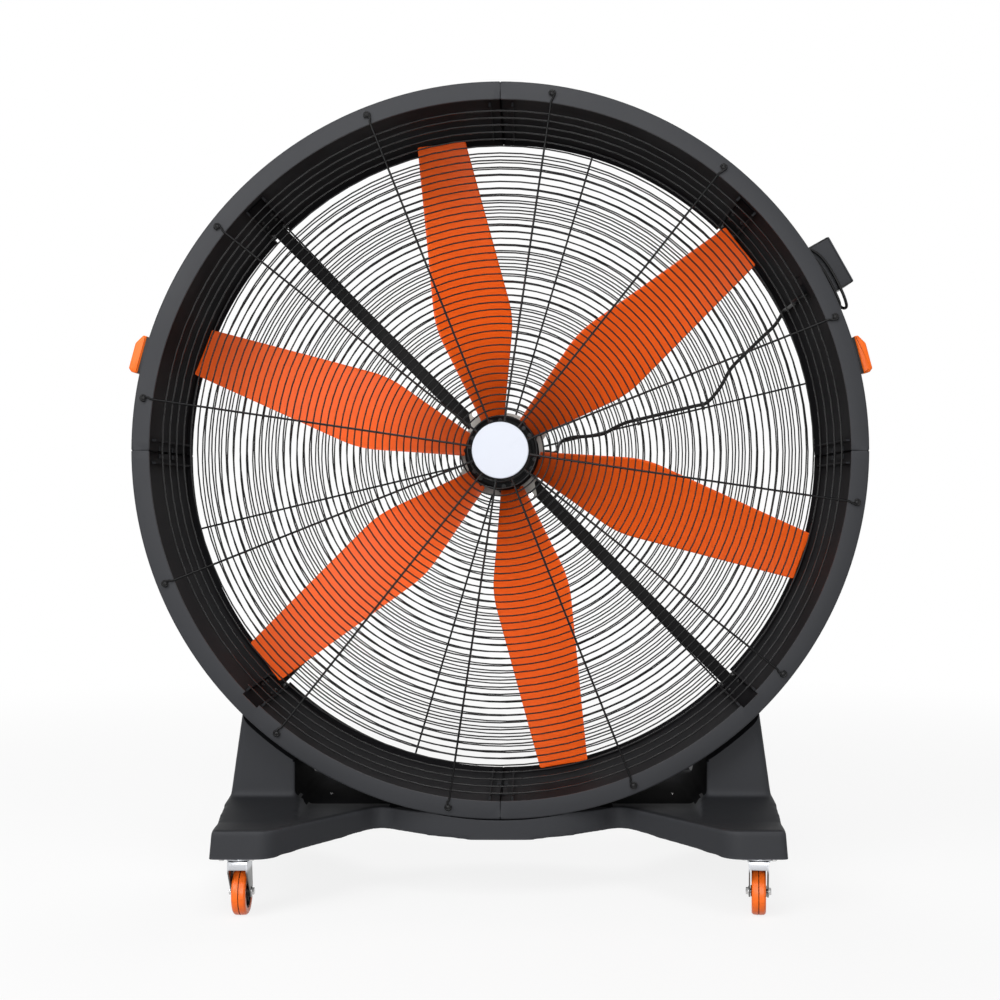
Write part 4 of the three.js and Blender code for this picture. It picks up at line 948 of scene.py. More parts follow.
@dataclass
class Drum:
    """Four moulded quarters, bolted at their seams, with ribs and a channel inside each."""

    shop: Workshop
    wall: float = BARREL_OUTER - BARREL_INNER
    rim_skin: float = 5.0
    rim_round: float = 5.0
    rim_slope: float = 4.0
    edge_round: float = 2.0
    gap: float = 1.0
    steps: int = 60
    rib_setback: float = 85.0
    rib_thickness: float = 5.0
    seam_rib_shift: float = 26.0
    seam_rib_height: float = 10.0
    flange_height: float = 15.0
    channel_shift: float = 25.0
    channel_height: float = 12.0
    channel_width: float = 45.0
    lip_cut: float = 8.0
    window_size: tuple[float, float] = (60.0, 70.0)
    flange_bolts: tuple[float, ...] = (-172.0, -62.0, 58.0, 168.0)

    def profile(self) -> list[tuple[float, float]]:
        """Section of the wall with both rims, as (radius, y) points."""
        skin = self.rim_skin
        front = [
            (BARREL_INNER, -HALF_DEPTH + skin, 3.0), (RIM_INNER, -HALF_DEPTH + skin, 1.2),
            (RIM_INNER, -HALF_DEPTH, 3.5), (RIM_OUTER, -HALF_DEPTH + self.rim_slope, self.rim_round),
            (RIM_OUTER, -HALF_DEPTH + RIM_DEPTH, 1.5),
            (RIM_OUTER - skin, -HALF_DEPTH + RIM_DEPTH, 1.5),
            (RIM_OUTER - skin, -HALF_DEPTH + skin, 1.5), (BARREL_OUTER, -HALF_DEPTH + skin, 3.0),
        ]
        rear = [(radius, -y, own) for radius, y, own in reversed(front)]
        return rounded([*front, *rear], 1.5, 3)

    def rib(self, degrees: float, shift: float, inner: float, outer: float, setback: float) -> Draft:
        """Rib along the drum with a rounded edge.

        Args:
            degrees: angle of the seam or channel that it belongs to.
            shift: distance from there along the girth.
            inner: radius of one edge.
            outer: radius of the other edge.
            setback: distance of its front end behind the front rim.

        Returns:
            The rib.
        """
        half = self.rib_thickness / 2
        outline = oblong((inner, shift - half), (outer, shift + half), 1.4)
        rib = Draft().axial(outline, setback - HALF_DEPTH, HALF_DEPTH - self.rim_skin / 2)
        return rib.placed(drum_turn(degrees))

    def slab(self, degrees: float, radii: tuple[float, float], depths: tuple[float, float],
             shifts: tuple[float, float]) -> Draft:
        """Plain block in the drum, used as a cutter or a tab."""
        block = Draft().block((radii[0], depths[0], shifts[0]), (radii[1], depths[1], shifts[1]))
        return block.placed(drum_turn(degrees))

    def quarter(self, index: int) -> None:
        """Builds and dresses one quarter.

        Args:
            index: number of the quarter, counter-clockwise from the right.
        """
        start, end = 90.0 * index, 90.0 * (index + 1)
        turn = math.degrees(self.gap / 2 / BARREL_INNER)
        body = Draft().lathe(self.profile(), start + turn, end - turn, self.steps, self.edge_round)
        deep = BARREL_INNER + self.wall / 2
        ribs: list[Draft] = []
        for degrees, sign in ((start, 1), (end, -1)):
            ribs.append(self.rib(degrees, sign * self.seam_rib_shift, BARREL_INNER - self.seam_rib_height,
                                 deep, self.rib_setback))
            flange = self.gap / 2 + self.rib_thickness / 2
            ribs.append(self.rib(degrees, sign * flange, deep, BARREL_OUTER + self.flange_height,
                                 self.rim_skin / 2))
            for near, far in ((-75.0, 0.0), (55.0, 100.0)):
                shifts = sorted((sign * 3.0, sign * 14.0))
                ribs.append(self.slab(degrees, (BARREL_INNER - 4, deep), (near, far),
                                      (shifts[0], shifts[1])))
        for sign in (-1, 1):
            ribs.append(self.rib(start + 45, sign * self.channel_shift, BARREL_INNER - self.channel_height,
                                 deep, self.rib_setback))
        half = self.channel_width / 2
        front = -DRUM_DEPTH if index >= 2 else 0.0
        cutters = [self.slab(start + 45, (RIM_INNER - 40, RIM_INNER + self.lip_cut), (front, DRUM_DEPTH),
                             (-half, half))]
        if index == 0:
            width, length = self.window_size
            cutters.append(self.slab(
                WINDOW_ANGLE, (BARREL_INNER - 20, BARREL_OUTER + 5),
                (WINDOW_PLACE - length / 2, WINDOW_PLACE + length / 2), (-width / 2, width / 2)))
        obj = self.shop.solid(f"drum_shell_{QUARTERS[index]}", body.placed(lifted()))
        for rib in ribs:
            self.shop.combine(obj, rib.placed(lifted()), Operation.ADD)
        for cutter in cutters:
            self.shop.combine(obj, cutter.placed(lifted()), Operation.CUT)
        self.shop.dress(obj, SHELL, replaces=[f"drum_quarter_{QUARTERS[index]}"], sharp=34)
        # Inner wall faces take the painted-shade copy of the shell plastic.
        axis, depth = AXIS_HEIGHT * MM, (HALF_DEPTH - self.rim_skin - 1) * MM
        self.shop.line(obj, INSIDE_SHADE, lambda at, normal: (
            math.hypot(at.x, at.z - axis) < (BARREL_INNER + 1) * MM and at.y > -depth
            and (abs(normal.y) < 0.7 if at.y < depth else normal.y < 0.3)))

    def seam_bolts(self, index: int) -> None:
        """Bolts and nuts through the outer flanges of one seam.

        Args:
            index: number of the seam, counter-clockwise from the right.
        """
        bolts = Draft()
        side = self.gap / 2 + self.rib_thickness
        for depth in self.flange_bolts:
            for sign in (-1, 1):
                at = in_drum(BARREL_OUTER + 8.5, 90.0 * index, sign * side, depth)
                along = in_drum(0, 90.0 * index, float(sign), 0)
                bolts.screw(at, along, 4.6, 4.0 if sign > 0 else 3.2, washer=6.0)
        self.shop.make(f"seam_bolts_{index}", bolts.placed(lifted()), BRIGHT)

    def seam_strip(self, index: int) -> None:
        """Strip at the bottom of the groove between two quarters, in the painted-shade copy of the shell
        plastic.

        Args:
            index: number of the seam, counter-clockwise from the right.
        """
        turn = 90.0 * index
        reach = math.degrees(2 * self.gap / BARREL_INNER)
        strip = Draft().lathe(inset(self.profile(), 1.7), turn - reach, turn + reach, 2)
        self.shop.make(f"seam_strip_{index}", strip.placed(lifted()), INSIDE_SHADE)

    def window_frame(self) -> None:
        """Gland block that closes most of the window for the motor lead."""
        width, length = self.window_size
        low = (BARREL_INNER + 1, WINDOW_PLACE - length / 2 + 1, -width / 2 + 1)
        plate = Draft().block(low, (BARREL_OUTER - 1.5, WINDOW_PLACE + length / 2 - 1, width / 2 - 1))
        boss = Draft().lathe([(0, -2), (13, -2), (13, 6), (11, 8), (0, 8)], steps=28)
        face = Matrix.Translation((BARREL_INNER + 1, WINDOW_PLACE - 4, -3)) @ Matrix.Rotation(
            math.pi / 2, 4, "Z")
        obj = self.shop.solid("lead_window_plate", plate.placed(lifted() @ drum_turn(WINDOW_ANGLE)))
        self.shop.combine(obj, boss.placed(lifted() @ drum_turn(WINDOW_ANGLE) @ face), Operation.ADD)
        self.shop.soften(obj, 0.8)
        # Painted shade: the plate takes the darker copy of the shell plastic.
        self.shop.dress(obj, INSIDE_SHADE)

    def build(self) -> None:
        """Builds the whole drum."""
        for index in range(4):
            self.quarter(index)
            self.seam_bolts(index)
            self.seam_strip(index)
        self.window_frame()


# ---------------------------------------------------------------------------
# Guards
# ---------------------------------------------------------------------------


@dataclass
class Guard:
    """Spiral wire on twelve spokes, screwed to the lips of the rim.

    It is built with the rim face at y = 0 and the open air at negative y.
    """

    shop: Workshop
    end: str
    place: Matrix
    wire: float = 3.6
    pitch: float = 16.0
    inner: float = 66.0
    outer: float = 776.0
    steps: int = 84
    spoke_wire: float = 5.0
    spoke_count: int = 12
    spoke_phase: float = 21.7
    spoke_inner: float = 20.0
    eyelet_circle: float = 812.0
    eyelet_loop: float = 6.2
    plate_radius: float = 66.0
    plate_thickness: float = 3.0

    def spiral(self) -> None:
        """Builds the spiral wire."""
        turns = (self.outer - self.inner) / self.pitch
        count = round(turns * self.steps)
        path = []
        for i in range(count + 1):
            turn = i / self.steps
            path.append(in_drum(self.inner + self.pitch * turn, -360 * turn, 0, self.wire / 2 - 0.1))
        draft = Draft().tube(path, self.wire / 2, 6)
        self.shop.make(f"{self.end}_guard_wire", draft.placed(self.place), WIRE,
                       replaces=[f"{self.end}_guard_spiral"], sharp=80)

    def spoke(self) -> Draft:
        """One spoke along X with its eyelet."""
        depth = -CLEARANCE - self.spoke_wire / 2
        start = self.eyelet_circle - self.eyelet_loop - 12
        path = [Vector((self.spoke_inner, depth, 0)), Vector((start, depth, 0)),
                Vector((start + 4, depth, -1)), Vector((start + 7, depth, -3.4))]
        for k in range(15):
            turn = math.radians(-150 + 20 * k)
            path.append(Vector((self.eyelet_circle + self.eyelet_loop * math.cos(turn), depth,
                                self.eyelet_loop * math.sin(turn))))
        return Draft().tube(path, self.spoke_wire / 2 - 0.1, 8)

    def spokes(self) -> None:
        """Builds the spokes, their screws and the centre plate."""
        bars, screws = Draft(), Draft()
        for i in range(self.spoke_count):
            turn = drum_turn(self.spoke_phase + i * 360 / self.spoke_count)
            bars.join(self.spoke(), turn)
            one = Draft().screw(Vector((self.eyelet_circle, -CLEARANCE - 1.4, 0)), Vector((0, -1, 0)),
                                5.6, 4.6, Head.ROUND)
            boss = Draft().lathe([(0, 3.4), (7.6, 3.4), (7.2, 0.1), (0, 0.1)], steps=24)
            one.join(boss, Matrix.Translation((self.eyelet_circle, 0, 0)))
            screws.join(one, turn)
        self.shop.make(f"{self.end}_guard_bars", bars.placed(self.place), WIRE,
                       replaces=[f"{self.end}_guard_spokes"], sharp=80)
        self.shop.make(f"{self.end}_guard_screws", screws.placed(self.place), BLACK, sharp=30)
        back = -CLEARANCE - 0.75 * self.spoke_wire
        front = back - self.plate_thickness
        radius = self.plate_radius
        plate = Draft().lathe([(0, back), (radius, back), (radius, front + 1), (radius - 1, front),
                               (0, front)], steps=96)
        self.shop.make(f"{self.end}_guard_plate", plate.placed(self.place), STEEL)

    def build(self) -> None:
        """Builds the whole guard."""
        self.spiral()
        self.spokes()


@dataclass
class Badge:
    """Bare white disc on the centre plate of the front guard."""

    shop: Workshop
    radius: float = 63.7
    thickness: float = 2.4
    back: float = -HALF_DEPTH - CLEARANCE - 3.75 - 3.0 - CLEARANCE

    def build(self) -> None:
        """Builds the disc with a rounded rim."""
        front = self.back - self.thickness
        profile = [(0, self.back), (self.radius, self.back), (self.radius, front + 1.2),
                   (self.radius - 0.35, front + 0.45), (self.radius - 1.2, front + 0.1),
                   (self.radius - 3, front), (0, front)]
        draft = Draft().lathe(profile, steps=120)
        self.shop.make("badge_face", draft.placed(lifted()), BADGE, replaces=["badge_disc"], sharp=50)


# ---------------------------------------------------------------------------
# Impeller
# ---------------------------------------------------------------------------


@dataclass
class Impeller:
    """Hub with six twisted blades."""

    shop: Workshop
    body: str = "impeller"
    phase: float = 101.2
    count: int = 6
    plane: float = 65.0
    tip: float = 772.0
    shoulder: float = 330.0
    lead_widths: tuple[float, float, float] = (22.0, 92.0, 59.0)
    trail_widths: tuple[float, float, float] = (35.0, 100.0, 58.0)
    root_angle: float = 38.0
    tip_angle: float = 11.0
    twist_power: float = 1.3
    camber: float = 0.035
    thickness: tuple[float, float] = (11.0, 5.0)
    tip_corner: float = 3.5
    stations: int = 40
    samples: int = 18
    cap_radius: float = 71.6
    bolt_circle: float = 80.0

    def half_width(self, radius: float, widths: tuple[float, float, float]) -> float:
        """Half width of the blade on one side at a radius.

        Args:
            radius: distance from the fan axis.
            widths: half widths at the root, the shoulder and the tip.

        Returns:
            The half width, with the corner at the shoulder softened.
        """
        root, shoulder, tip = widths
        rise = (radius - HUB_RADIUS) / (self.shoulder - HUB_RADIUS)
        fall = (radius - self.shoulder) / (self.tip - self.shoulder)
        a, b = mix(root, shoulder, rise), mix(shoulder, tip, fall)
        soft = shoulder / 6
        blend = clamp(0.5 + (b - a) / (2 * soft))
        return mix(b, a, blend) - soft * blend * (1 - blend)

    def section(self, radius: float, thin: float) -> list[Vector]:
        """Closed section of the blade at a radius.

        Args:
            radius: distance from the fan axis.
            thin: share of the full thickness.

        Returns:
            Its points, once round.
        """
        lead = self.half_width(radius, self.lead_widths)
        trail = self.half_width(radius, self.trail_widths)
        near_tip = clamp((radius - self.tip + self.tip_corner) / self.tip_corner)
        corner = self.tip_corner * (1 - math.sqrt(max(0.0, 1 - near_tip**2)))
        lead, trail = lead - corner, trail - corner
        inward = (self.tip - radius) / (self.tip - HUB_RADIUS)
        pitch = math.radians(mix(self.tip_angle, self.root_angle, min(1.0, inward) ** self.twist_power))
        outward = clamp((radius - HUB_RADIUS) / (self.tip - HUB_RADIUS))
        knuckle = 7.0 * math.exp(-(((radius - 98) / 9) ** 2))
        thickness = (mix(*self.thickness, outward) + knuckle) * thin
        chord = lead + trail
        upper, lower = [], []
        for i in range(self.samples + 1):
            share = (1 - math.cos(math.pi * i / self.samples)) / 2
            arch = 4 * share * (1 - share)
            edge = min(share, 1 - share) * chord
            blunt = math.sqrt(max(0.0, 1 - (1 - min(1.0, edge / (0.3 * thickness))) ** 2))
            half = thickness * (0.35 + 0.65 * arch) / 2 * blunt
            across = mix(-lead, trail, share)
            middle = self.plane - across * math.tan(pitch) + self.camber * chord * arch
            for side, row in ((-1, lower), (1, upper)):
                row.append(Vector((radius, middle + side * half * math.cos(pitch),
                                   across + side * half * math.sin(pitch))))
        return [*lower, *reversed(upper[1:-1])]

    def blade(self) -> Draft:
        """One blade along X."""
        start = HUB_RADIUS - 3
        rings = []
        for i in range(self.stations):
            share = (i / (self.stations - 1)) ** 1.1
            rings.append(self.section(mix(start, self.tip - self.tip_corner, share), 1.0))
        for drop, thin in ((6.0, 1.0), (3.4, 0.97), (1.6, 0.88), (0.6, 0.7), (0.1, 0.45)):
            rings.append(self.section(self.tip - drop, thin))
        return Draft().skin(rings)

    def hub(self) -> None:
        """Builds the hub with its bolts, the cap and the blade clamps."""
        chamfer = 8.0
        profile = rounded([
            (12.3, HUB_REAR, 0.5), (12.3, 7.0, 0.5), (72.0, 7.0, 0.5), (72.0, HUB_FRONT, 1.0),
            (HUB_RADIUS - chamfer, HUB_FRONT, 3.0), (HUB_RADIUS, HUB_FRONT + chamfer, 3.0),
            (HUB_RADIUS, 30.0, 0.5), (HUB_RADIUS - 2.5, 33.0, 0.5),
            (HUB_RADIUS - 2.5, HUB_REAR - 12, 0.5), (HUB_RADIUS, HUB_REAR - 9, 0.5),
            (HUB_RADIUS, HUB_REAR - 4, 2.0), (HUB_RADIUS - 4, HUB_REAR, 2.0),
        ], 1.0)
        self.shop.make("hub_casting", Draft().lathe(profile, steps=96).placed(lifted()), HUB, self.body,
                       ["hub"], sharp=30)
        bolts = Draft()
        for k in range(self.count):
            for step in (8.0, 52.0):
                angle = self.phase + 60 * k + step
                bolts.screw(in_drum(self.bolt_circle - 1.0, angle, 0, HUB_FRONT), Vector((0, -1, 0)),
                            4.6, 3.2, washer=5.6)
            turn = drum_turn(self.phase + 60 * k)
            for sign in (-1, 1):
                at = Vector((HUB_RADIUS - 2, self.plane - sign * 22, sign * 21))
                bolts.join(Draft().screw(at, Vector((1, 0, 0)), 4.6, 3.4, washer=6.4), turn)
        self.shop.make("hub_bolts", bolts.placed(lifted()), BLACK, self.body)
        front = HUB_FRONT - 6.0
        cap = rounded([(0, 6.7, 0), (self.cap_radius, 6.7, 0.4), (self.cap_radius, HUB_FRONT - 1, 1.5),
                       (self.cap_radius - 8, front, 3.0), (24, front, 1.0), (22, front + 1.4, 0.6),
                       (0, front + 1.4, 0)], 0.5)
        self.shop.make("hub_cover", Draft().lathe(cap, steps=96).placed(lifted()), BLACK, self.body,
                       ["hub_cap"], sharp=30)

    def build(self) -> None:
        """Builds the whole impeller."""
        self.hub()
        blade = self.blade()
        for k in range(self.count):
            turn = lifted() @ drum_turn(self.phase - 360 * k / self.count)
            self.shop.make(f"fan_blade_{k + 1}", blade.placed(turn), BLADE, self.body,
                           [f"blade_{k + 1}"], sharp=60)
        self.shop.keep(BRIGHT, "motor_shaft")
        self.shop.keep(CORE, "rotor_core")


# ---------------------------------------------------------------------------
# Motor and struts
# ---------------------------------------------------------------------------


@dataclass
class Motor:
    """Flat outer-shell motor on a plate that the crossed struts carry."""

    shop: Workshop
    radius: float = 104.0
    front: float = 112.0
    rear: float = 160.0
    wall: float = 6.0
    fin_count: int = 36
    fin_height: float = 2.4
    ear_reach: float = 132.0
    ear_width: float = 38.0
    ear_angle: float = 34.0
    plate_size: float = 170.0
    plate_front: float = 160.3
    plate_thickness: float = 6.0

    def housing(self) -> None:
        """Builds the finned housing."""
        core = self.radius - self.fin_height
        inner = 100.3
        profile = rounded([
            (0, self.rear, 0), (self.radius - 8, self.rear, 2.0), (self.radius - 2, self.rear - 7, 2.0),
            (core, self.rear - 9, 1.0), (core, self.front + 15, 1.0),
            (self.radius - 1, self.front + 13, 1.0),
            (self.radius - 1, self.front + self.wall + CLEARANCE, 0.8),
            (inner, self.front + self.wall + CLEARANCE, 0.5), (inner, self.rear - self.wall, 0.5),
            (32.3, self.rear - self.wall, 0.5), (32.3, 144.0, 0.5), (26.3, 144.0, 0.3),
            (26.3, self.rear - self.wall, 0.3), (0, self.rear - self.wall, 0),
        ], 0.5)
        body = Draft().lathe(profile, steps=96)
        for k in range(self.fin_count):
            fin = Draft().block((core - 1.5, self.front + 12, -1.6), (self.radius, self.rear - 6, 1.6))
            body.join(fin, drum_turn(k * 360 / self.fin_count))
        self.shop.make("motor_case", body.placed(lifted()), MOTOR, replaces=["motor_housing"], sharp=30)

    def shield(self) -> None:
        """Builds the front end shield with four ears and their bolts."""
        edge = self.front + self.wall
        profile = rounded([
            (14, self.front, 0.3), (30, self.front, 1), (34, self.front + 2, 1), (86, self.front + 2, 1),
            (90, self.front, 1), (self.radius - 5, self.front, 2), (self.radius, self.front + 3, 2),
            (self.radius, edge, 0.3), (32.3, edge, 0.3), (32.3, self.front + 10, 0.3),
            (26.3, self.front + 10, 0.3), (26.3, self.front + 4, 0.3), (14, self.front + 4, 0.3),
        ], 0.5)
        obj = self.shop.solid("motor_shield", Draft().lathe(profile, steps=96).placed(lifted()))
        half = self.ear_width / 2
        bolts = Draft()
        for k in range(4):
            turn = drum_turn(self.ear_angle + 90 * k)
            outline = rounded([(98, -half - 8, 1), (self.ear_reach, -half + 6, 9),
                               (self.ear_reach, half - 6, 9), (98, half + 8, 1)], 8, 5)
            ear = Draft().axial(outline, self.front + 1, edge)
            self.shop.combine(obj, ear.placed(lifted() @ turn), Operation.ADD)
            bolts.join(Draft().screw(Vector((self.ear_reach - 11, self.front + 1, 0)), Vector((0, -1, 0)),
                                     6.0, 4.6, washer=8.5), turn)
        self.shop.soften(obj, 0.9)
        self.shop.dress(obj, MOTOR, replaces=["motor_end_shield"], sharp=34)
        self.shop.make("motor_ear_bolts", bolts.placed(lifted()), BRIGHT)

    def plate(self) -> None:
        """Builds the mount plate with its bolts."""
        half = self.plate_size / 2
        corner = half / 3
        low, high = self.plate_front, self.plate_front + self.plate_thickness
        corners = [(half, -half + corner), (half, half - corner), (half - corner, half),
                   (-half + corner, half), (-half, half - corner), (-half, -half + corner),
                   (-half + corner, -half), (half - corner, -half)]
        outline = rounded([(u, v, 5.0) for u, v in corners], 5)
        plate = Draft().axial(outline, low, high)
        turn = lifted() @ drum_turn(45)
        self.shop.make("motor_back_plate", plate.placed(turn), STEEL, replaces=["motor_mount_plate"],
                       bevel=1.0)
        bolts = Draft()
        for u in (-1, 1):
            for v in (-1, 1):
                bolts.screw(Vector((u * 58, high, v * 58)), Vector((0, 1, 0)), 7.0, 5.2, washer=10.0)
        self.shop.make("motor_plate_bolts", bolts.placed(turn), BRIGHT)

    def build(self) -> None:
        """Builds the whole motor."""
        self.housing()
        self.shield()
        self.plate()
        self.shop.keep(COPPER, "stator_core")
        self.shop.keep(BRIGHT, "bearing_front", "bearing_rear")


@dataclass
class Struts:
    """Square tubes that cross behind the motor and end on plates in the channels of the drum."""

    shop: Workshop
    wall: float = 2.5
    corner: float = 4.0
    foot_width: float = 42.0
    foot_depth: float = 50.0
    foot_thickness: float = 5.0
    reach: float = 804.2
    band_width: float = 44.0
    band_thickness: float = 2.6

    def tube(self, inner: float, outer: float) -> Draft:
        """Square tube along X between two radii, with its bore.

        Args:
            inner: radius of one end, below 0 past the axis.
            outer: radius of the other end.

        Returns:
            The tube.
        """
        half = STRUT_SIZE / 2
        middle = STRUT_FRONT + half

        def ring(x: float, size: float, corner: float) -> list[Vector]:
            return [Vector((x, middle + u, v)) for u, v in oblong((-size, -size), (size, size), corner, 4)]

        bore = half - self.wall
        return Draft().skin([
            ring(inner, half, self.corner), ring(outer, half, self.corner),
            ring(outer, bore, self.corner - 2), ring(inner, bore, self.corner - 2),
        ], closed=True)

    def foot(self) -> Draft:
        """Foot plate at the outer end of a tube."""
        middle = STRUT_FRONT + STRUT_SIZE / 2
        half, along = self.foot_width / 2, self.foot_depth / 2
        outline = oblong((middle - along, -half), (middle + along, half), 4)
        return Draft().radial(outline, self.reach - self.foot_thickness, self.reach)

    def arm(self, name: str, node: str, turns: Sequence[float], inner: float) -> None:
        """Builds a strut from a tube with a foot at one or both ends.

        Args:
            name: name of the piece.
            node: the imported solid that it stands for.
            turns: angles of its feet, the tube's own first.
            inner: radius at which the tube starts, below 0 where it runs through the middle.
        """
        body = Draft().join(self.tube(inner, self.reach - 1), drum_turn(turns[0]))
        bolts = Draft()
        middle = STRUT_FRONT + STRUT_SIZE / 2
        for turn in turns:
            body.join(self.foot(), drum_turn(turn))
            for shift in (-15.5, 15.5):
                at = Vector((self.reach - self.foot_thickness, middle - 20.6, shift))
                bolts.join(Draft().screw(at, Vector((-1, 0, 0)), 4.2, 3.6), drum_turn(turn))
        self.shop.make(name, body.placed(lifted()), STEEL, replaces=[node], sharp=40)
        self.shop.make(f"{name}_bolts", bolts.placed(lifted()), BLACK)

    def band(self, index: int) -> None:
        """Steel band on the bottom of a channel, in front of the strut's foot, with four screws.

        Args:
            index: number of the channel's quarter.
        """
        degrees = 45.0 + 90 * index
        front = -HALF_DEPTH + 3.5 if index >= 2 else -HALF_DEPTH + 88
        rear = STRUT_FRONT - 10
        half = self.band_width / 2
        outer = BARREL_INNER - 0.6
        band = Draft().radial(oblong((front, -half), (rear, half), 4), outer - self.band_thickness, outer)
        turn = lifted() @ drum_turn(degrees)
        self.shop.make(f"strut_band_{QUARTERS[index]}", band.placed(turn), SHADED, bevel=0.7)
        bolts = Draft()
        for depth in (20.0, 83.0):
            for shift in (-15.5, 15.5):
                bolts.screw(Vector((outer - self.band_thickness, depth, shift)), Vector((-1, 0, 0)),
                            4.8, 4.0, Head.ROUND)
        self.shop.make(f"strut_band_screws_{QUARTERS[index]}", bolts.placed(turn), BLACK)

    def build(self) -> None:
        """Builds the three struts and the four bands."""
        inner = STRUT_SIZE / 2 + CLEARANCE
        self.arm("strut_through", "motor_strut_through", (135.0, 315.0), 1 - self.reach)
        self.arm("strut_upper", "motor_strut_upper", (45.0,), inner)
        self.arm("strut_lower", "motor_strut_lower", (225.0,), inner)
        for index in range(4):
            self.band(index)


# ---------------------------------------------------------------------------
# Motor lead
# ---------------------------------------------------------------------------


@dataclass
class MotorLead:
    """Lead from the motor along a spoke of the rear guard and the barrel to the control box."""

    shop: Workshop
    diameter: float = 9.0
    spoke: float = 13.5
    side: float = 10.0
    outlet: float = 136.0
    motor_radius: float = 112.3
    drop: float = 28.0
    tie_width: float = 4.0
    tie_radii: tuple[float, ...] = (352.4, 523.1)

    def route(self) -> list[Vector]:
        """Points that the lead passes."""
        behind = HALF_DEPTH - 3.4 - 2 * CLEARANCE - self.diameter / 2
        wall = BARREL_INNER - self.diameter / 2 - 2
        start = self.motor_radius
        far = behind - self.drop - WINDOW_PLACE
        near = [(0, 0, 4), (14, 1, 5), (22, 16, 10), (25, 41, 21), (31, 64, 33)]
        points = [Vector((start + x, self.outlet + y, z)) for x, y, z in near]
        points.append(Vector((start + 44, behind - 2, 42)))
        points.extend(Vector((start + x, behind, z))
                      for x, z in ((68, 48), (102, 50), (142, 57), (176, 75)))
        points.extend(in_drum(share * BARREL_INNER, self.spoke, self.side, behind)
                      for share in (0.403, 0.437, 0.496, 0.571, 0.627, 0.658))
        spans = ((0.712, 17.3, 0), (0.768, 21, 0), (0.83, 23, 0), (0.894, 24.6, 2),
                 (0.949, 25.8, self.drop / 2))
        points.extend(in_drum(share * BARREL_INNER, degrees, 0, behind - ahead)
                      for share, degrees, ahead in spans)
        along = ((far, 3), (0.9 * far, 0), (0.71 * far, 0), (0.48 * far, 0), (0.376 * far, 1), (80, 8),
                 (60, 16), (42, 22), (28, 24), (15, 22), (3, 14), (-4, 3), (-6, -7))
        points.extend(in_drum(wall - sink, WINDOW_ANGLE - 1.2, 0, WINDOW_PLACE + past)
                      for past, sink in along)
        return points

    def tie(self, number: int, radius: float) -> None:
        """Builds one cable tie with its head and tail.

        Args:
            number: number of the tie.
            radius: its distance from the fan axis.
        """
        behind = HALF_DEPTH - 3.4 - 2 * CLEARANCE - self.diameter / 2
        lead_half, spoke_half = self.diameter / 2 + 0.5, 3.2
        outline = rounded([(behind - lead_half, -spoke_half), (HALF_DEPTH + 6, -spoke_half),
                           (HALF_DEPTH + 6, spoke_half), (behind + lead_half, self.side + lead_half),
                           (behind - lead_half, self.side + lead_half)], 4, 4)
        outer = inset(outline, -1.5)
        half = self.tie_width / 2

        def ring(x: float, line: Outline) -> list[Vector]:
            return [Vector((radius + x, u, v)) for u, v in line]

        band = Draft().skin([ring(-half, outer), ring(half, outer), ring(half, outline),
                             ring(-half, outline)], closed=True)
        band.block((radius - 3.2, behind - lead_half - 5, self.side - 3),
                   (radius + 3.2, behind - lead_half, self.side + 3), 0.8)
        band.block((radius - 1.6, behind - lead_half - 17, self.side - 0.8),
                   (radius + 1.6, behind - lead_half - 4, self.side + 0.6), 0.3)
        place = lifted() @ drum_turn(self.spoke)
        self.shop.make(f"cable_tie_{number}", band.placed(place), BLACK,
                       replaces=[f"lead_tie_{number}"], sharp=30)

    def build(self) -> None:
        """Builds the lead, its ties and its bush at the motor."""
        path = [lifted() @ point for point in smooth_path(self.route(), 6.0)]
        lead = self.shop.make("motor_cable", Draft().tube(path, self.diameter / 2, 12), CABLE,
                              replaces=["motor_lead"], sharp=80)
        metres = [tuple(point * MM) for point in path]
        path_length(path) * MM
        for number, radius in enumerate(self.tie_radii, 1):
            self.tie(number, radius)
        bush = Draft().lathe([(4.7, -11), (9, -11), (9, 3), (6.4, 10), (4.7, 11)], steps=28)
        turn = Matrix.Translation((self.motor_radius - 2, self.outlet, 4)) @ Matrix.Rotation(
            -math.pi / 2, 4, "Z")
        self.shop.make("motor_lead_bush", bush.placed(lifted() @ turn), BLACK, sharp=30)


# ---------------------------------------------------------------------------
# Control box
# ---------------------------------------------------------------------------


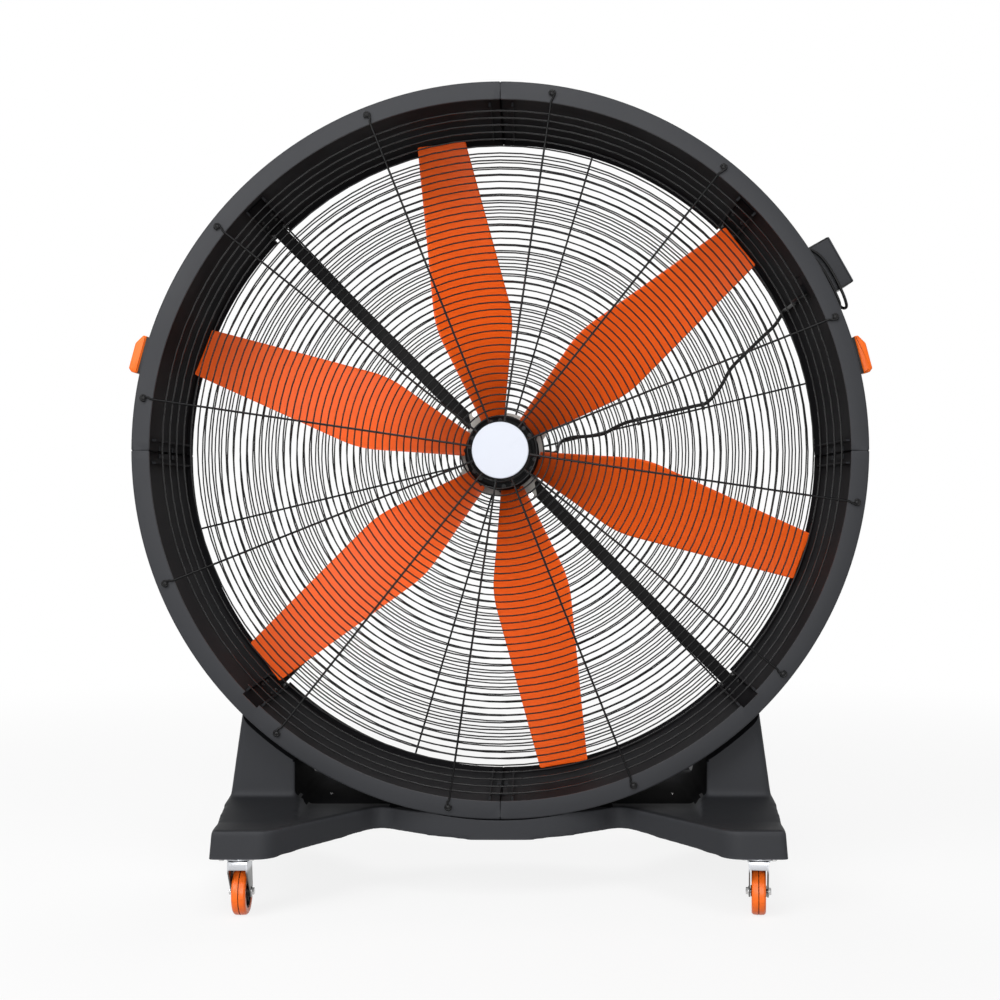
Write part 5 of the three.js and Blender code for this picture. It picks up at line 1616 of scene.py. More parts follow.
@dataclass
class ControlBox:
    """Box on the outside of the barrel, built at angle 0 with X as the radius."""

    shop: Workshop
    angle: float = 29.5
    half_length: float = 59.0
    front: float = -155.0
    rear: float = -5.0
    top: float = 899.0
    lid: float = 4.0
    corner: float = 6.0
    knob_radius: float = 17.0
    knob_height: float = 18.0
    control_radius: float = 855.5
    control_shift: float = 26.0
    cable: float = 7.0
    lifts: tuple[float, float] = (49.0, 34.0)

    def place(self) -> Matrix:
        """Place of the box on the drum."""
        return lifted() @ drum_turn(self.angle)

    def slab(self, low: float, high: float) -> Draft:
        """Rounded slab over the plan of the box, between two radii."""
        end = self.half_length
        return Draft().radial(oblong((self.front, -end), (self.rear, end), self.corner, 4), low, high)

    def shell(self) -> None:
        """Builds the shell, the lid and its screws."""
        under = self.top - self.lid
        barrel = Draft().lathe([(0, self.front - 9), (BARREL_OUTER + SEAT_GAP, self.front - 9),
                                (BARREL_OUTER + SEAT_GAP, self.rear + 9), (0, self.rear + 9)], steps=192)
        obj = self.shop.solid("control_shell", self.slab(BARREL_OUTER - 6, under - CLEARANCE))
        self.shop.combine(obj, barrel, Operation.CUT)
        well = Draft().block((self.control_radius - 16, self.rear - 5, self.control_shift - 10.3),
                             (self.control_radius + 16, self.rear + 1, self.control_shift + 10.3))
        self.shop.combine(obj, well, Operation.CUT)
        self.shop.soften(obj, 1.4)
        self.shop.move(obj, self.place())
        self.shop.dress(obj, SHELL, replaces=["control_box"], sharp=34)
        lid = self.shop.solid("control_lid", self.slab(under, self.top))
        self.shop.soften(lid, 1.6, 3)
        self.shop.move(lid, self.place())
        self.shop.dress(lid, SHELL, replaces=["control_box_lid"], sharp=34)
        ends = Draft()
        for sign in (-1, 1):
            near, far = sorted((sign * (self.half_length - 3.4), sign * (self.half_length + 0.4)))
            ends.block((BARREL_OUTER + 3, self.front - 0.4, near), (under, self.rear + 0.4, far))
        self.shop.make("control_end_caps", ends.placed(self.place()), BLACK, bevel=0.6)
        screws = Draft()
        for depth in (self.front + 11, self.rear - 11):
            for shift in (-1, 1):
                screws.screw(Vector((self.top, depth, shift * (self.half_length - 11))), Vector((1, 0, 0)),
                             4.2, 2.2, Head.ROUND)
        self.shop.make("control_lid_screws", screws.placed(self.place()), BRIGHT, sharp=30)

    def controls(self) -> None:
        """Builds the speed knob and the power switch with its bezel."""
        outline = [(2 * math.pi * k / 48, 0.0 if k % 3 else 0.9) for k in range(48)]
        rings = []
        radius, height = self.knob_radius, self.knob_height
        for y, out, depth in ((0, 0, 0), (3.4, 0, 0), (4.6, -1.4, 0.2), (5.4, -3.2, 1),
                              (height - 2, -4.2, 1), (height - 0.6, -5.0, 0.8), (height, -6.6, 0)):
            reaches = [(turn, radius + out - dent * depth) for turn, dent in outline]
            rings.append([Vector((r * math.cos(turn), y, r * math.sin(turn))) for turn, r in reaches])
        knob = Draft().skin(rings)
        knob.block((2, height - 0.2, -0.9), (radius - 7.5, height + 0.7, 0.9))
        seat = Matrix.Translation((self.control_radius, self.rear + CLEARANCE, -self.control_shift))
        self.shop.make("speed_dial", knob.placed(self.place() @ seat), BLACK, "speed_knob", ["speed_knob"],
                       sharp=34)
        marks = Draft()
        for k in range(10):
            turn = math.radians(-135 + 30 * k)
            mark = Draft().block((radius + 3, -0.4, -0.6), (radius + 6.5, 0.35, 0.6))
            marks.join(mark, seat @ Matrix.Rotation(turn, 4, "Y") @ Matrix.Translation((0, -CLEARANCE, 0)))
        self.shop.make("dial_marks", marks.placed(self.place()), BADGE)
        bezel = Draft()
        x, z, y = self.control_radius, self.control_shift, self.rear

        def frame(size: tuple[float, float], depth: float) -> list[Vector]:
            edge = oblong((-size[0], -size[1]), size, 2.4)
            return [Vector((x + u, depth, z + v)) for u, v in edge]

        bezel.skin([frame((18.5, 13), y - 0.3), frame((18, 12.5), y + 1.5), frame((16, 10.6), y + 1.5),
                    frame((15.8, 10.4), y - 0.3)], closed=True)
        self.shop.make("switch_bezel", bezel.placed(self.place()), BLACK, sharp=30)
        half, keel = 15.0, 3.2
        side = rounded([(-half, -0.5), (0, -keel), (half, -0.5), (half, 4, 1.0), (6, 2.2, 4.0),
                        (-6, 2.2, 4.0), (-half, 4, 1.0)], 0.8)
        rocker = Draft().prism(side, -10.0, 10.0, 0.8)
        tilt = Matrix.Translation((x, y - 1, z)) @ Matrix.Rotation(math.radians(7), 4, "Z")
        self.shop.make("power_rocker", rocker.placed(self.place() @ tilt), BLACK, "power_switch",
                       ["power_switch"], sharp=34)

    def cables(self) -> None:
        """Builds the two cables that curl from the end of the box into the barrel, and their glands."""
        end = -self.half_length - CLEARANCE
        for index, letter in enumerate("ab"):
            top = BARREL_OUTER + self.lifts[index]
            ahead = self.front - self.cable / 2 - 6
            start = self.front + 48 - 12 * index
            points = [
                (top - 12, start, end), (top - 12, start, end - 10), (top - 10, start - 4, end - 26),
                (top - 8, start - 20, end - 41 + 5 * index), (top - 5, ahead + 12, end - 42 + 6 * index),
                (top - 3, ahead + 1, end - 28), (top, ahead, end - 5), (top + 2, ahead, end + 30),
                (top + 1, ahead, end + 62), (top - 5, ahead, end + 92),
                (top - 18, ahead, end + 114 - 7 * index), (BARREL_OUTER + 14, ahead, end + 126 - 10 * index),
                (BARREL_OUTER + CLEARANCE, ahead, end + 129 - 10 * index),
            ]
            path = [self.place() @ point for point in smooth_path([Vector(p) for p in points], 4.0)]
            cable = self.shop.make(f"control_cable_{letter}", Draft().tube(path, self.cable / 2, 12), CABLE,
                                   replaces=[f"box_cable_{letter}"], sharp=80)
            metres = [tuple(point * MM) for point in path]
            path_length(path) * MM
            gland = Draft().lathe([(3.7, -1), (8.5, -1), (8.5, 4), (7, 5), (7, 8), (5.2, 12), (3.7, 12.5)],
                                  steps=24)
            at = Matrix.Translation((top - 12, start, -self.half_length)) @ Matrix.Rotation(
                -math.pi / 2, 4, "X")
            self.shop.make(f"control_gland_{letter}", gland.placed(self.place() @ at), BLACK, sharp=30)
            foot = Matrix.Translation((BARREL_OUTER, ahead, end + 129 - 10 * index)) @ Matrix.Rotation(
                -math.pi / 2, 4, "Z")
            self.shop.make(f"barrel_gland_{letter}", gland.placed(self.place() @ foot), BLACK, sharp=30)

    def build(self) -> None:
        """Builds the whole box."""
        self.shell()
        self.controls()
        self.cables()


# ---------------------------------------------------------------------------
# Handles
# ---------------------------------------------------------------------------


class Side(Enum):
    """Side of the fan, as the sign of X."""

    RIGHT = 1
    LEFT = -1


@dataclass
class Handle:
    """Orange grip on a black bracket, built at angle 0 with X as the radius."""

    shop: Workshop
    side: Side
    angle: float = 15.0
    start: float = -185.0
    end: float = -25.0
    post: float = 30.0
    strap: float = 6.0
    width: float = 88.0
    waist: float = 44.0
    grip_inner: float = 846.0
    grip_outer: float = 868.0

    def place(self) -> Matrix:
        """Place of the handle on its side of the drum."""
        flip = Matrix.Scale(-1, 4, Vector((1, 0, 0))) if self.side is Side.LEFT else Matrix.Identity(4)
        return lifted() @ flip @ drum_turn(self.angle)

    def share(self, depth: float) -> float:
        """Width of the grip at a depth, as a share of its full width."""
        near = min(depth - self.start, self.end - depth) - self.post
        return mix(1.0, self.waist / self.width, ease(near / 22))

    def grip(self) -> None:
        """Builds the grip, which narrows to a waist."""
        half = self.width / 2
        low, high = self.grip_inner, self.grip_outer
        outline = rounded([(low, -half, 3), (high - 8, -half, 4), (high, -half + 7, 4),
                           (high, half - 22, 12), (high - 13, half, 5), (low, half, 3)], 4, 4)
        count, blunt = 44, 4.0
        ends = ((0.0, blunt), (0.8, 1.7), (2.0, 0.6))
        rings = [[Vector((u, self.start + along, v)) for u, v in inset(outline, drop)]
                 for along, drop in ends]
        for i in range(count + 1):
            share = self.share(mix(self.start, self.end, i / count))
            depth = mix(self.start + blunt, self.end - blunt, i / count)
            rings.append([Vector((u, depth, v * share)) for u, v in outline])
        rings.extend([Vector((u, self.end - along, v)) for u, v in inset(outline, drop)]
                     for along, drop in reversed(ends))
        draft = Draft().skin(rings)
        name = self.side.name.lower()
        self.shop.make(f"grip_{name}", draft.placed(self.place()), GRIP, replaces=[f"handle_grip_{name}"],
                       sharp=45)

    def bracket(self) -> None:
        """Builds the posts and the strap under the grip."""
        half = self.width / 2 - 2
        foot, top = BARREL_OUTER - 6, self.grip_inner - CLEARANCE
        barrel = Draft().lathe([(0, self.start - 9), (BARREL_OUTER + SEAT_GAP, self.start - 9),
                                (BARREL_OUTER + SEAT_GAP, self.end + 9), (0, self.end + 9)], steps=192)
        name = self.side.name.lower()
        obj = self.shop.solid(f"bracket_{name}", Draft().block(
            (foot, self.start + 1, -half), (BARREL_OUTER + self.strap, self.end - 1, half)))
        for near, far in ((self.start, self.start + self.post), (self.end - self.post, self.end)):
            self.shop.combine(obj, Draft().block((foot, near, -half), (top, far, half)), Operation.ADD)
        self.shop.combine(obj, barrel, Operation.CUT)
        self.shop.soften(obj, 1.8, 3)
        self.shop.move(obj, self.place())
        if self.side is Side.LEFT:
            obj.data.flip_normals()
        self.shop.dress(obj, BLACK, replaces=[f"handle_bracket_{name}"], sharp=34)

    def build(self) -> None:
        """Builds the whole handle."""
        self.grip()
        self.bracket()


# ---------------------------------------------------------------------------
# Base
# ---------------------------------------------------------------------------


@dataclass
class Base:
    """Hollow moulding with four feet, a saddle under the drum and two towers."""

    shop: Workshop
    wall: float = 6.0
    foot_reach: float = 415.0
    foot_outer: float = 620.0
    foot_inner: float = 500.0
    half_width: float = 640.0
    waist_place: float = 290.0
    waist_reach: float = 158.0
    draft_in: float = 7.0
    deck_rise: float = 22.0
    slope_margin: float = 7.0
    slope_reach: float = 330.0
    shade_front: float = 40.0
    shade_side: float = 12.0
    arch: float = 10.0
    tower_inner: float = 473.0
    tower_outer: float = 633.0
    tower_half: float = 158.0
    tower_lean: float = 0.14
    tower_top: float = 508.0
    tower_fillet: float = 14.0
    tower_corner: float = 18.0
    cradle: float = 43.0
    voxel: float = 5.0
    deck_screws: tuple[tuple[float, float], ...] = ((-409.0, 0.0), (409.0, 0.0))

    def deck_share(self, z: float) -> float:
        """Share of the way up from the underside to the deck."""
        return clamp((z - BASE_UNDERSIDE) / (DECK_TOP - BASE_UNDERSIDE))

    def plan(self, margin: float) -> list[tuple[float, float]]:
        """Outline seen from above, drawn inside by a margin.

        Args:
            margin: how far inside the outline is drawn.

        Returns:
            The outline's points.
        """
        half, reach = HALF_DEPTH - margin, self.foot_reach - margin
        outer, inner = self.foot_outer - margin, self.foot_inner + margin
        waist, side = self.waist_reach - margin, self.half_width - margin
        place = self.waist_place
        near, far, shoulder = (place - 52, waist + 18), (place + 18, waist + 18), (inner - 28, reach - 32)
        knee = (mix(far[0], shoulder[0], 0.45), mix(far[1], shoulder[1], 0.45))
        curves = [
            ((0, half), (110, half), (176, half - 2), near),
            (near, (place - 26, waist - 8), (place - 4, waist - 10), far),
            (far, knee, knee, shoulder),
            (shoulder, (inner - 12, reach - 11), (inner + 2, reach), (inner + 24, reach)),
            ((inner + 24, reach), (outer - 30, reach), (outer - 20, reach), (outer - 12, reach)),
            ((outer - 12, reach), (outer - 4, reach), (outer + 1, reach - 4), (outer + 1, reach - 12)),
            ((outer + 1, reach - 12), (outer + 5, 0.66 * reach), (side, reach / 3), (side, 0)),
        ]
        row: list[tuple[float, float]] = []
        for a, b, c, d in curves:
            for k in range(12):
                t = k / 12
                weights = ((1 - t) ** 3, 3 * t * (1 - t) ** 2, 3 * t * t * (1 - t), t**3)
                terms = list(zip(weights, (a, b, c, d)))
                row.append((sum(w * p[0] for w, p in terms), sum(w * p[1] for w, p in terms)))
        row.append((side, 0.0))
        first = [(x, -y) for x, y in row]
        right = [*first, *reversed(row[:-1])]
        left = [(-x, y) for x, y in reversed(right)]
        return [*right, *left[1:-1]]

    def slab(self, margin: float, low: float, high: float) -> Draft:
        """Slab over the plan, narrowed towards the deck as its mould needs.

        Args:
            margin: how far inside the plan it is drawn.
            low: its underside.
            high: its top.

        Returns:
            The slab.
        """
        rings = []
        for z in (low, high):
            drawn = self.draft_in * self.deck_share(z)
            wide, long = 1 - drawn / self.half_width, 1 - drawn / self.foot_reach
            rings.append([Vector((x * wide, y * long, z)) for x, y in self.plan(margin)])
        return Draft().skin(rings)

    def tower_ring(self, z: float, flare: float, shrink: float) -> list[Vector]:
        """Rounded rectangle of the tower at a height.

        Args:
            z: the height.
            flare: how far it is widened by the fillet.
            shrink: how far it is drawn in, for the hollow.

        Returns:
            Its points.
        """
        lean = self.tower_lean * max(0.0, z - DECK_TOP) + self.draft_in * self.deck_share(z)
        x0, x1 = self.tower_inner - flare + shrink, self.tower_outer - lean - shrink
        y1 = self.tower_half + flare - shrink
        return [Vector((x, y, z)) for x, y in rounded(
            [(x0, -y1, 4), (x1, -y1), (x1, y1), (x0, y1, 4)], self.tower_corner, 6)]

    def tower(self, shrink: float, bottom: float, side: Side) -> Draft:
        """Tower with a fillet where it rises from the deck.

        Args:
            shrink: how far it is drawn in, for the hollow.
            bottom: its lowest height.
            side: side of the fan that it stands on.

        Returns:
            The tower.
        """
        fillet = self.tower_fillet
        rings = [self.tower_ring(bottom, fillet, shrink)]
        for share in (0, 0.15, 0.3, 0.5, 0.75, 1):
            z = DECK_TOP + self.deck_rise - shrink + share * fillet
            flare = fillet * (1 - math.sqrt(1 - (1 - share) ** 2))
            rings.append(self.tower_ring(z, flare, shrink))
        rings.append(self.tower_ring(self.tower_top, 0, shrink))
        return Draft().skin([[Vector((side.value * p.x, p.y, p.z)) for p in ring] for ring in rings])

    def raise_deck(self, obj: bpy.types.Object, shrink: float) -> None:
        """Adds the parts of the deck that slope up from the feet to the towers.

        Args:
            obj: the solid that they are joined to.
            shrink: how far they are drawn in, for the hollow.
        """
        fillet, low = self.tower_fillet, DECK_TOP - 12 - shrink
        top = DECK_TOP + self.deck_rise - shrink
        slopes = self.shop.solid("slopes", self.slab(shrink, low, top + 4))
        spans = (
            (self.tower_inner - 2 * self.slope_margin - fillet + shrink, self.tower_outer + 22 - shrink,
             self.slope_reach - shrink, DECK_TOP - 1 - shrink),
            (self.tower_inner - fillet + shrink, self.tower_outer - 11 - shrink,
             self.tower_half + fillet - shrink, top),
        )
        lofts = Draft()
        for side in Side:
            lofts.skin([
                [Vector((side.value * x, y, z)) for x, y in ((x0, -y1), (x1, -y1), (x1, y1), (x0, y1))]
                for x0, x1, y1, z in spans])
        self.shop.combine(slopes, lofts, Operation.TRIM)
        self.shop.merge(obj, slopes, Operation.ADD)

    def room(self, margin: float) -> list[Draft]:
        """Cutters for the drum, its seam flanges and the chamfers of the cradle.

        Args:
            margin: gap that they leave to the drum.

        Returns:
            The cutters.
        """
        rim, barrel = RIM_OUTER + margin + 1.5, BARREL_OUTER + margin + 1.5
        step = HALF_DEPTH - RIM_DEPTH - margin
        reach = self.foot_reach + 1
        drum = Draft().lathe([(0, -reach), (rim, -reach), (rim, -step), (barrel, -step), (barrel, step),
                              (rim, step), (rim, reach), (0, reach)], steps=192)
        half = 5.6 + margin
        slot = Draft().block((-half, -step, -(BARREL_OUTER + 15.3 + margin)), (half, step, -BARREL_INNER))
        cutters = [drum, slot]
        face = self.tower_half + 1
        wide = BARREL_OUTER + self.cradle + margin
        for sign in (-1, 1):
            cone = [(0, face), (wide + 1, face), (BARREL_OUTER, face - self.cradle - 1),
                    (0, face - self.cradle - 1)]
            cutters.append(Draft().lathe([(r, sign * y) for r, y in cone], steps=192))
        return [cutter.placed(lifted()) for cutter in cutters]

    def arches(self) -> list[Draft]:
        """Cutters for the low arches of the underside."""
        low, high = BASE_UNDERSIDE - 30, BASE_UNDERSIDE + self.arch
        cutters = []
        for side in Side:
            row = [(70, low), (self.foot_inner - 18, low), (self.foot_inner - 18, BASE_UNDERSIDE),
                   (self.waist_place, high), (210, high), (70, BASE_UNDERSIDE)]
            rings = [[Vector((side.value * x, y, z)) for x, z in row]
                     for y in (-self.foot_reach, self.foot_reach)]
            cutters.append(Draft().skin(rings))
        return cutters

    def under_drum(self, at: Vector, normal: Vector) -> bool:
        """Says whether a face lies in the deep shade between the drum and the deck.

        Args:
            at: middle of the face, in metres.
            normal: its normal.

        Returns:
            True for the faces that get the darker finish.
        """
        height = at.z - AXIS_HEIGHT * MM
        reach = math.hypot(at.x, height)
        facing = -(at.x * normal.x + height * normal.z) / reach
        if reach < (BARREL_OUTER + self.cradle + 2) * MM and abs(at.y) < self.tower_half * MM:
            return facing > 0.2
        inward = -math.copysign(normal.x, at.x * normal.x)
        beside = inward > 0.6 and abs(at.y) < (self.tower_half - 8) * MM
        behind = at.y > (self.shade_front - self.tower_half) * MM and (inward > 0.3 or normal.z > 0.3)
        return (beside or behind) and at.z > (DECK_TOP - 4) * MM and (
            abs(at.x) < (self.tower_inner + self.shade_side) * MM)

    def build(self) -> None:
        """Builds the base and the screws on its deck.

        The outside is remeshed and smoothed so that its edges are soft; the drum's room and the
        underside are cut after that and stay crisp.
        """
        below = BASE_UNDERSIDE - 24
        obj = self.shop.solid("base_moulding", self.slab(0, below, DECK_TOP))
        self.raise_deck(obj, 0)
        for side in Side:
            self.shop.combine(obj, self.tower(0, below, side), Operation.ADD)
        for cutter in self.arches():
            self.shop.combine(obj, cutter, Operation.CUT)
        self.shop.modify(obj, "REMESH", {"mode": "VOXEL", "voxel_size": self.voxel * MM})
        self.shop.modify(obj, "SMOOTH", {"factor": 0.5, "iterations": 5})
        for cutter in self.room(CLEARANCE):
            self.shop.combine(obj, cutter, Operation.CUT)
        under = Draft().block((-700, -500, 60), (700, 500, BASE_UNDERSIDE))
        self.shop.combine(obj, under, Operation.CUT)
        hollow = self.shop.solid("base_hollow", self.slab(self.wall + 1, 90, DECK_TOP - self.wall))
        self.raise_deck(hollow, self.wall)
        for side in Side:
            self.shop.combine(hollow, self.tower(self.wall, BASE_UNDERSIDE - 20, side), Operation.ADD)
        for cutter in self.room(CLEARANCE + self.wall):
            self.shop.combine(hollow, cutter, Operation.CUT)
        for x in (-CASTER_X, CASTER_X):
            for y in (-CASTER_Y, CASTER_Y):
                pad = Draft().block((x - 41, y - 50, 80), (x + 41, y + 50, DECK_TOP + 30))
                self.shop.combine(hollow, pad, Operation.CUT)
        self.shop.merge(obj, hollow, Operation.CUT)
        self.shop.dress(obj, DECK, replaces=["base"], sharp=32)
        self.shop.split(obj, Vector((0, self.shade_front - self.tower_half, 0)), Vector((0, 1, 0)))
        for side in Side:
            at = Vector((side.value * (self.tower_inner + self.shade_side), 0, 0))
            self.shop.split(obj, at, Vector((1, 0, 0)))
        self.shop.line(obj, SHADED, self.under_drum)
        screws = Draft()
        for x, y in self.deck_screws:
            screws.screw(Vector((x, y, DECK_TOP)), Vector((0, 0, 1)), 4.0, 2.2, Head.ROUND)
        self.shop.make("deck_screws", screws, BRIGHT, sharp=30)


# ---------------------------------------------------------------------------
# Casters
# ---------------------------------------------------------------------------


class Corner(Enum):
    """Corner of the base that a caster sits under: its x and y signs and its yaw in degrees."""

    FRONT_LEFT = (-1, -1, 0.0)
    FRONT_RIGHT = (1, -1, -8.0)
    REAR_LEFT = (-1, 1, 180.0)
    REAR_RIGHT = (1, 1, 180.0)


@dataclass
class Caster:
    """Swivel caster, built with its swivel on Z at the origin and the wheel trailing towards +Y."""

    shop: Workshop
    corner: Corner
    trail: float = 28.0
    diameter: float = 101.6
    width: float = 31.0
    tyre: float = 15.0
    height: float = 142.7
    plate: tuple[float, float, float] = (82.0, 100.0, 3.0)
    race_radius: float = 30.0
    race_height: float = 12.0
    gauge: float = 3.0
    crown_gap: float = 8.0
    axle_nut: float = 8.0

    def place(self) -> Matrix:
        """Place of the caster under the base."""
        sx, sy, yaw = self.corner.value
        return Matrix.Translation((sx * CASTER_X, sy * CASTER_Y, 0)) @ Matrix.Rotation(
            math.radians(yaw), 4, "Z")

    def upright(self, profile: Outline, steps: int = 48) -> Draft:
        """Outline of (radius, height) points turned about the swivel axis."""
        return Draft().lathe(profile, steps=steps).placed(Matrix.Rotation(math.pi / 2, 4, "X"))

    def across(self, profile: Outline, steps: int = 64) -> Draft:
        """Outline of (radius, x) points turned about the axle."""
        place = Matrix.Translation((0, self.trail, self.diameter / 2)) @ Matrix.Rotation(
            -math.pi / 2, 4, "Z")
        return Draft().lathe(profile, steps=steps).placed(place)

    def top(self, name: str) -> None:
        """Builds the plate, the races and the bolts into the base.

        Args:
            name: corner of the base, as its pieces name it.
        """
        wide, long, thick = self.plate
        under = self.height - thick
        plate = self.shop.solid(f"caster_top_{name}", Draft().block(
            (-wide / 2, -long / 2, under), (wide / 2, long / 2, self.height), 7))
        r, low = self.race_radius, under - self.race_height
        rings = rounded([(0, under + 1, 0), (r - 4, under + 1, 0.5), (r - 2, under - 1, 1.5),
                         (r, under - 2.5, 1.5), (r, under - 5, 1.2), (r - 2.4, under - 6, 0.8),
                         (r, under - 7, 1.2), (r, low + 1.5, 1.4), (r - 3, low, 1.5), (0, low, 0)], 0.6)
        self.shop.combine(plate, self.upright(rings), Operation.ADD)
        self.shop.soften(plate, 0.5)
        self.shop.move(plate, self.place())
        self.shop.dress(plate, ZINC, replaces=[f"caster_plate_{name}"], sharp=30)
        bolts = Draft()
        for x in (-1, 1):
            for y in (-1, 1):
                bolts.screw(Vector((x * (wide / 2 - 9), y * (long / 2 - 11), under)), Vector((0, 0, -1)),
                            6.4, 5.0, washer=8.0)
        self.shop.make(f"caster_bolts_{name}", bolts.placed(self.place()), BRIGHT, sharp=30)

    def fork(self, name: str) -> None:
        """Builds the pressed fork and the axle bolt.

        Args:
            name: corner of the base, as its pieces name it.
        """
        axle = self.diameter / 2
        top = self.height - self.plate[2] - self.race_height - CLEARANCE
        under = self.diameter + self.crown_gap
        inside = self.width / 2 + 3
        outside = inside + self.gauge
        r = self.race_radius
        side = rounded([
            (-r, top, 6), (-r, under - 4, 8), (self.trail - 15, axle - 2, 8),
            (self.trail - 11, axle - 12, 8), (self.trail + 11, axle - 12, 8),
            (self.trail + 14, axle, 8), (r + 4, under - 6, 8), (r, top, 6),
        ], 6, 5)
        turn = Matrix(((0, 0, 1, 0), (1, 0, 0, 0), (0, 1, 0, 0), (0, 0, 0, 1)))
        obj = self.shop.solid(f"caster_yoke_{name}", Draft().prism(side, inside, outside).placed(turn))
        self.shop.combine(obj, Draft().prism(side, -outside, -inside).placed(turn), Operation.ADD)
        crown = Draft().block((-outside, -r, under), (outside, r, top))
        hollow = Draft().block((-inside, -r + 3, under - 20), (inside, r - 3, top - 5))
        crowned = self.shop.solid("crown", crown)
        self.shop.combine(crowned, hollow, Operation.CUT)
        self.shop.merge(obj, crowned, Operation.ADD)
        dish = self.upright([(0, top - 6), (r - 6, top - 6), (r - 4, top - 3), (r - 2, top), (0, top)])
        self.shop.combine(obj, dish, Operation.ADD)
        self.shop.soften(obj, 1.1)
        self.shop.move(obj, self.place())
        self.shop.dress(obj, YOKE, f"caster_fork_{name}", [f"caster_fork_{name}"], sharp=30)
        bolt = self.across([(0, -outside), (5, -outside), (5, outside), (0, outside)], 24)
        for sign in (-1, 1):
            at = Vector((sign * outside, self.trail, axle))
            bolt.screw(at, Vector((sign, 0, 0)), self.axle_nut, 5.4 if sign < 0 else 4.8, washer=10.5)
        bolt.join(self.upright(
            [(0, under - 2), (8, under - 2), (9, under), (9, under + 3), (0, under + 3)], 6))
        self.shop.make(f"caster_axle_{name}", bolt.placed(self.place()), BRIGHT, f"caster_fork_{name}",
                       sharp=30)

    def wheel(self, name: str) -> None:
        """Builds the tyre and the ribbed core.

        Args:
            name: corner of the base, as its pieces name it.
        """
        outer, inner = self.diameter / 2, self.diameter / 2 - self.tyre
        half = self.width / 2
        tread = [(inner, -half + 0.5, 0.6), (outer - 4, -half, 3), (outer - 0.6, -half + 4, 3),
                 (outer, -4, 4), (outer, -1.1, 0.2), (outer - 1.1, 0, 0.2), (outer, 1.1, 0.2),
                 (outer, 4, 4), (outer - 0.6, half - 4, 3), (outer - 4, half, 3),
                 (inner, half - 0.5, 0.6)]
        body = f"caster_wheel_{name}"
        ring = self.across(rounded(tread, 1), 72)
        tyre = self.shop.make(f"wheel_tyre_{name}", ring.placed(self.place()), TYRE, body,
                              [f"caster_tyre_{name}"], sharp=50)
        back = self.place().inverted()
        # Painted shade: faces of the centre groove take the darker tyre colour.
        self.shop.line(tyre, PARTING_SHADE, lambda at, normal: abs((back @ (at / MM)).x) < 1.0)
        rim = inner - CLEARANCE
        web = rounded([
            (5.3, -half - 2, 0.4), (12, -half - 2, 1), (13, -half + 9, 2), (rim - 5, -half + 9, 2),
            (rim - 3.4, -half + 2, 1), (rim, -half + 2, 0.4), (rim, half - 2, 0.4),
            (rim - 3.4, half - 2, 1), (rim - 5, half - 9, 2), (13, half - 9, 2), (12, half + 2, 1),
            (5.3, half + 2, 0.4)], 1)
        core = self.shop.solid(f"wheel_core_{name}", self.across(web, 72))
        for k in range(6):
            spoke = Draft().block((11, -half + 3.5, -1.3), (rim - 2, half - 3.5, 1.3))
            place = Matrix.Translation((0, self.trail, outer)) @ Matrix.Rotation(
                -math.pi / 2, 4, "Z") @ drum_turn(60 * k)
            self.shop.combine(core, spoke.placed(place), Operation.ADD)
        self.shop.move(core, self.place())
        self.shop.dress(core, WHEEL, body, [f"caster_core_{name}"], sharp=34)

    def build(self) -> None:
        """Builds the whole caster."""
        name = self.corner.name.lower()
        self.top(name)
        self.fork(name)
        self.wheel(name)


# ---------------------------------------------------------------------------
# Studio
# ---------------------------------------------------------------------------


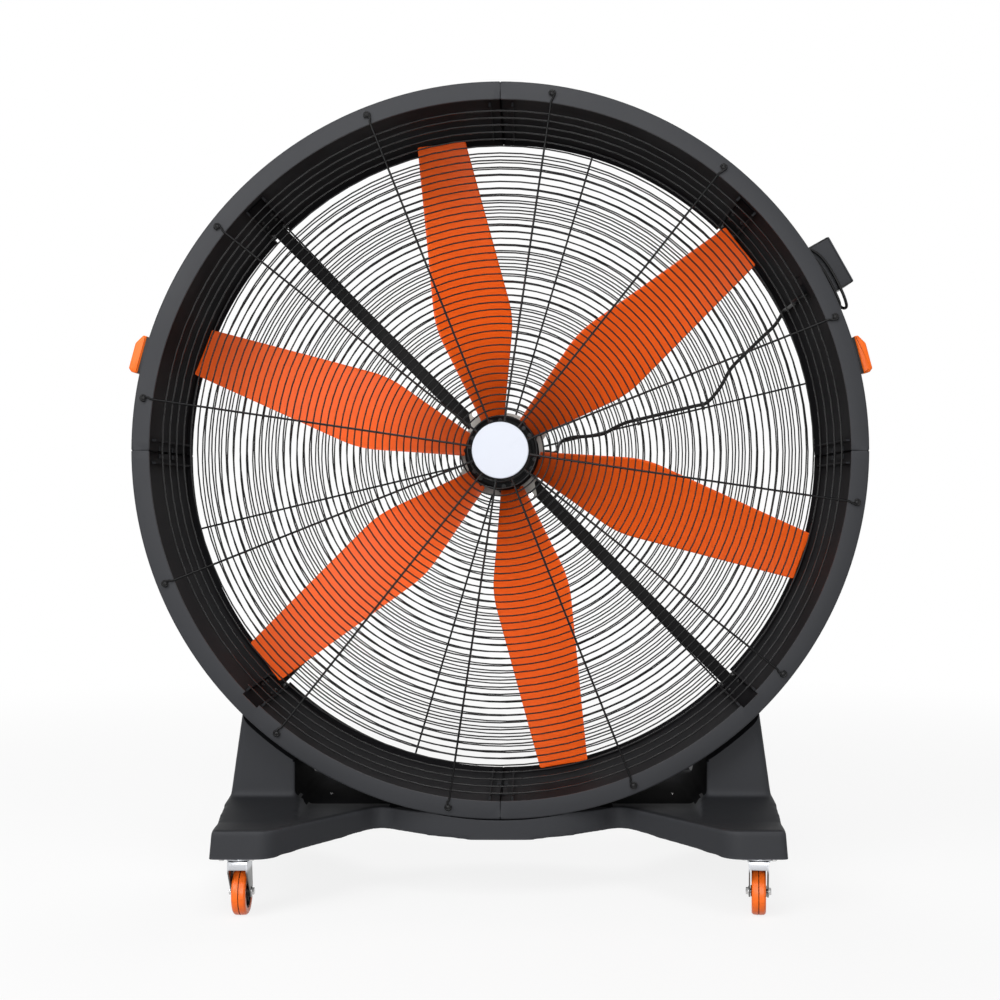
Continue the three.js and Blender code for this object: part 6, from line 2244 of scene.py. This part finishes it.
@dataclass
class Studio:
    """White floor, soft lamps and the camera."""

    camera_place: tuple[float, float, float] = (0.067, -3.657, 0.909)
    focal_length: float = 54.86
    shift: float = -0.03
    ambient: float = 0.1
    floor_size: float = 60.0
    shadow: tuple[float, float, float] = (0.15, 1.6, 4.5)
    lamps: dict[str, tuple[tuple[float, float, float], float, float]] = field(default_factory=lambda: {
        "key": ((-3.0, -3.8, 2.7), 2.6, 135.0),
        "high": ((0.2, -3.4, 4.6), 2.2, 100.0),
        "front": ((0.3, -5.6, 1.2), 3.0, 158.0),
        "rear": ((0.0, 2.8, 4.4), 2.5, 100.0),
    })

    def camera(self) -> None:
        """Adds the camera at the photograph's viewing angle."""
        data = bpy.data.cameras.new("photograph")
        data.sensor_width = 36.0
        data.lens = self.focal_length
        data.shift_x = self.shift
        data.clip_end = 200
        obj = bpy.data.objects.new("photograph", data)
        obj.location = self.camera_place
        obj.rotation_euler = (math.pi / 2, 0, 0)
        bpy.context.scene.collection.objects.link(obj)
        bpy.context.scene.camera = obj

    def seen(self, graph: Graph) -> Value:
        """Share of rays that see the background itself: from the camera, a mirror or through glass.

        Args:
            graph: tree of the floor or of the world.

        Returns:
            The share, from 0 to 1.
        """
        path = graph.node("ShaderNodeLightPath")
        rays = [Value(graph, path.outputs[name])
                for name in ("Is Camera Ray", "Is Glossy Ray", "Is Transmission Ray")]
        return graph.maths("MINIMUM", rays[0] + rays[1] + rays[2], 1.0)

    def floor(self) -> None:
        """Adds the floor, which shows white and keeps a soft shadow."""
        half = self.floor_size / 2 / MM
        draft = Draft()
        draft.points = [Vector((x * half, y * half, 0)) for x, y in ((-1, -1), (1, -1), (1, 1), (-1, 1))]
        draft.faces = [(0, 1, 2, 3)]
        obj = Workshop.solid("floor", draft)
        graph = Graph(bpy.data.materials.new("floor"))
        share, near, far = self.shadow
        matt = graph.node("ShaderNodeBsdfDiffuse", None, {
            "Color": graph.tint(self.seen(graph), (0.4, 0.4, 0.4, 1), (0.9, 0.9, 0.9, 1))})
        glow = graph.node("ShaderNodeEmission", None, {"Color": (1, 1, 1, 1), "Strength": 1.0})
        away = graph.node("ShaderNodeVectorMath", {"operation": "LENGTH"}, {0: graph.place()})
        bare = Value(graph, away.outputs["Value"]).between(near, far)
        mixed = graph.node("ShaderNodeMixShader", None, {
            0: self.seen(graph) * (bare * share + (1 - share)), 1: matt.outputs[0], 2: glow.outputs[0]})
        graph.node("ShaderNodeOutputMaterial", None, {"Surface": mixed.outputs[0]})
        obj.data.materials.append(graph.owner)

    def world(self) -> None:
        """Sets the ambient light and the white background."""
        world = bpy.data.worlds.new("studio")
        bpy.context.scene.world = world
        graph = Graph(world)
        level = self.seen(graph) * (1.0 - self.ambient) + self.ambient
        light = graph.node("ShaderNodeBackground", None, {"Color": (1, 1, 1, 1), "Strength": level})
        graph.node("ShaderNodeOutputWorld", None, {"Surface": light.outputs[0]})

    def light(self) -> None:
        """Adds the lamps, each a soft square that faces the fan."""
        for name, (place, size, power) in self.lamps.items():
            data = bpy.data.lights.new(name, "AREA")
            data.size = size
            data.energy = power
            obj = bpy.data.objects.new(name, data)
            obj.location = place
            towards = Vector((0, 0, 0.9)) - Vector(place)
            obj.rotation_euler = towards.to_track_quat("-Z", "Y").to_euler()
            bpy.context.scene.collection.objects.link(obj)

    def build(self) -> None:
        """Builds the studio."""
        bpy.context.scene.view_settings.view_transform = "Standard"
        self.camera()
        self.floor()
        self.world()
        self.light()


def main() -> None:
    logging.basicConfig(level=logging.INFO, format="%(message)s")
    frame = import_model()
    shop = Workshop(frame)
    Studio().build()
    front = Matrix.Translation((0, -HALF_DEPTH, 0))
    rear = Matrix.Translation((0, HALF_DEPTH, 0)) @ drum_turn(65.2) @ Matrix.Rotation(math.pi, 4, "Z")
    builders: list[Any] = [
        MotorLead(shop), ControlBox(shop), Drum(shop),
        Guard(shop, "front", lifted() @ front), Guard(shop, "rear", lifted() @ rear), Badge(shop),
        Impeller(shop), Motor(shop), Struts(shop), Handle(shop, Side.RIGHT), Handle(shop, Side.LEFT),
        Base(shop), *(Caster(shop, corner) for corner in Corner),
    ]
    for builder in builders:
        builder.build()
        LOG.info("%s done", type(builder).__name__)


if __name__ == "__main__":
    main()
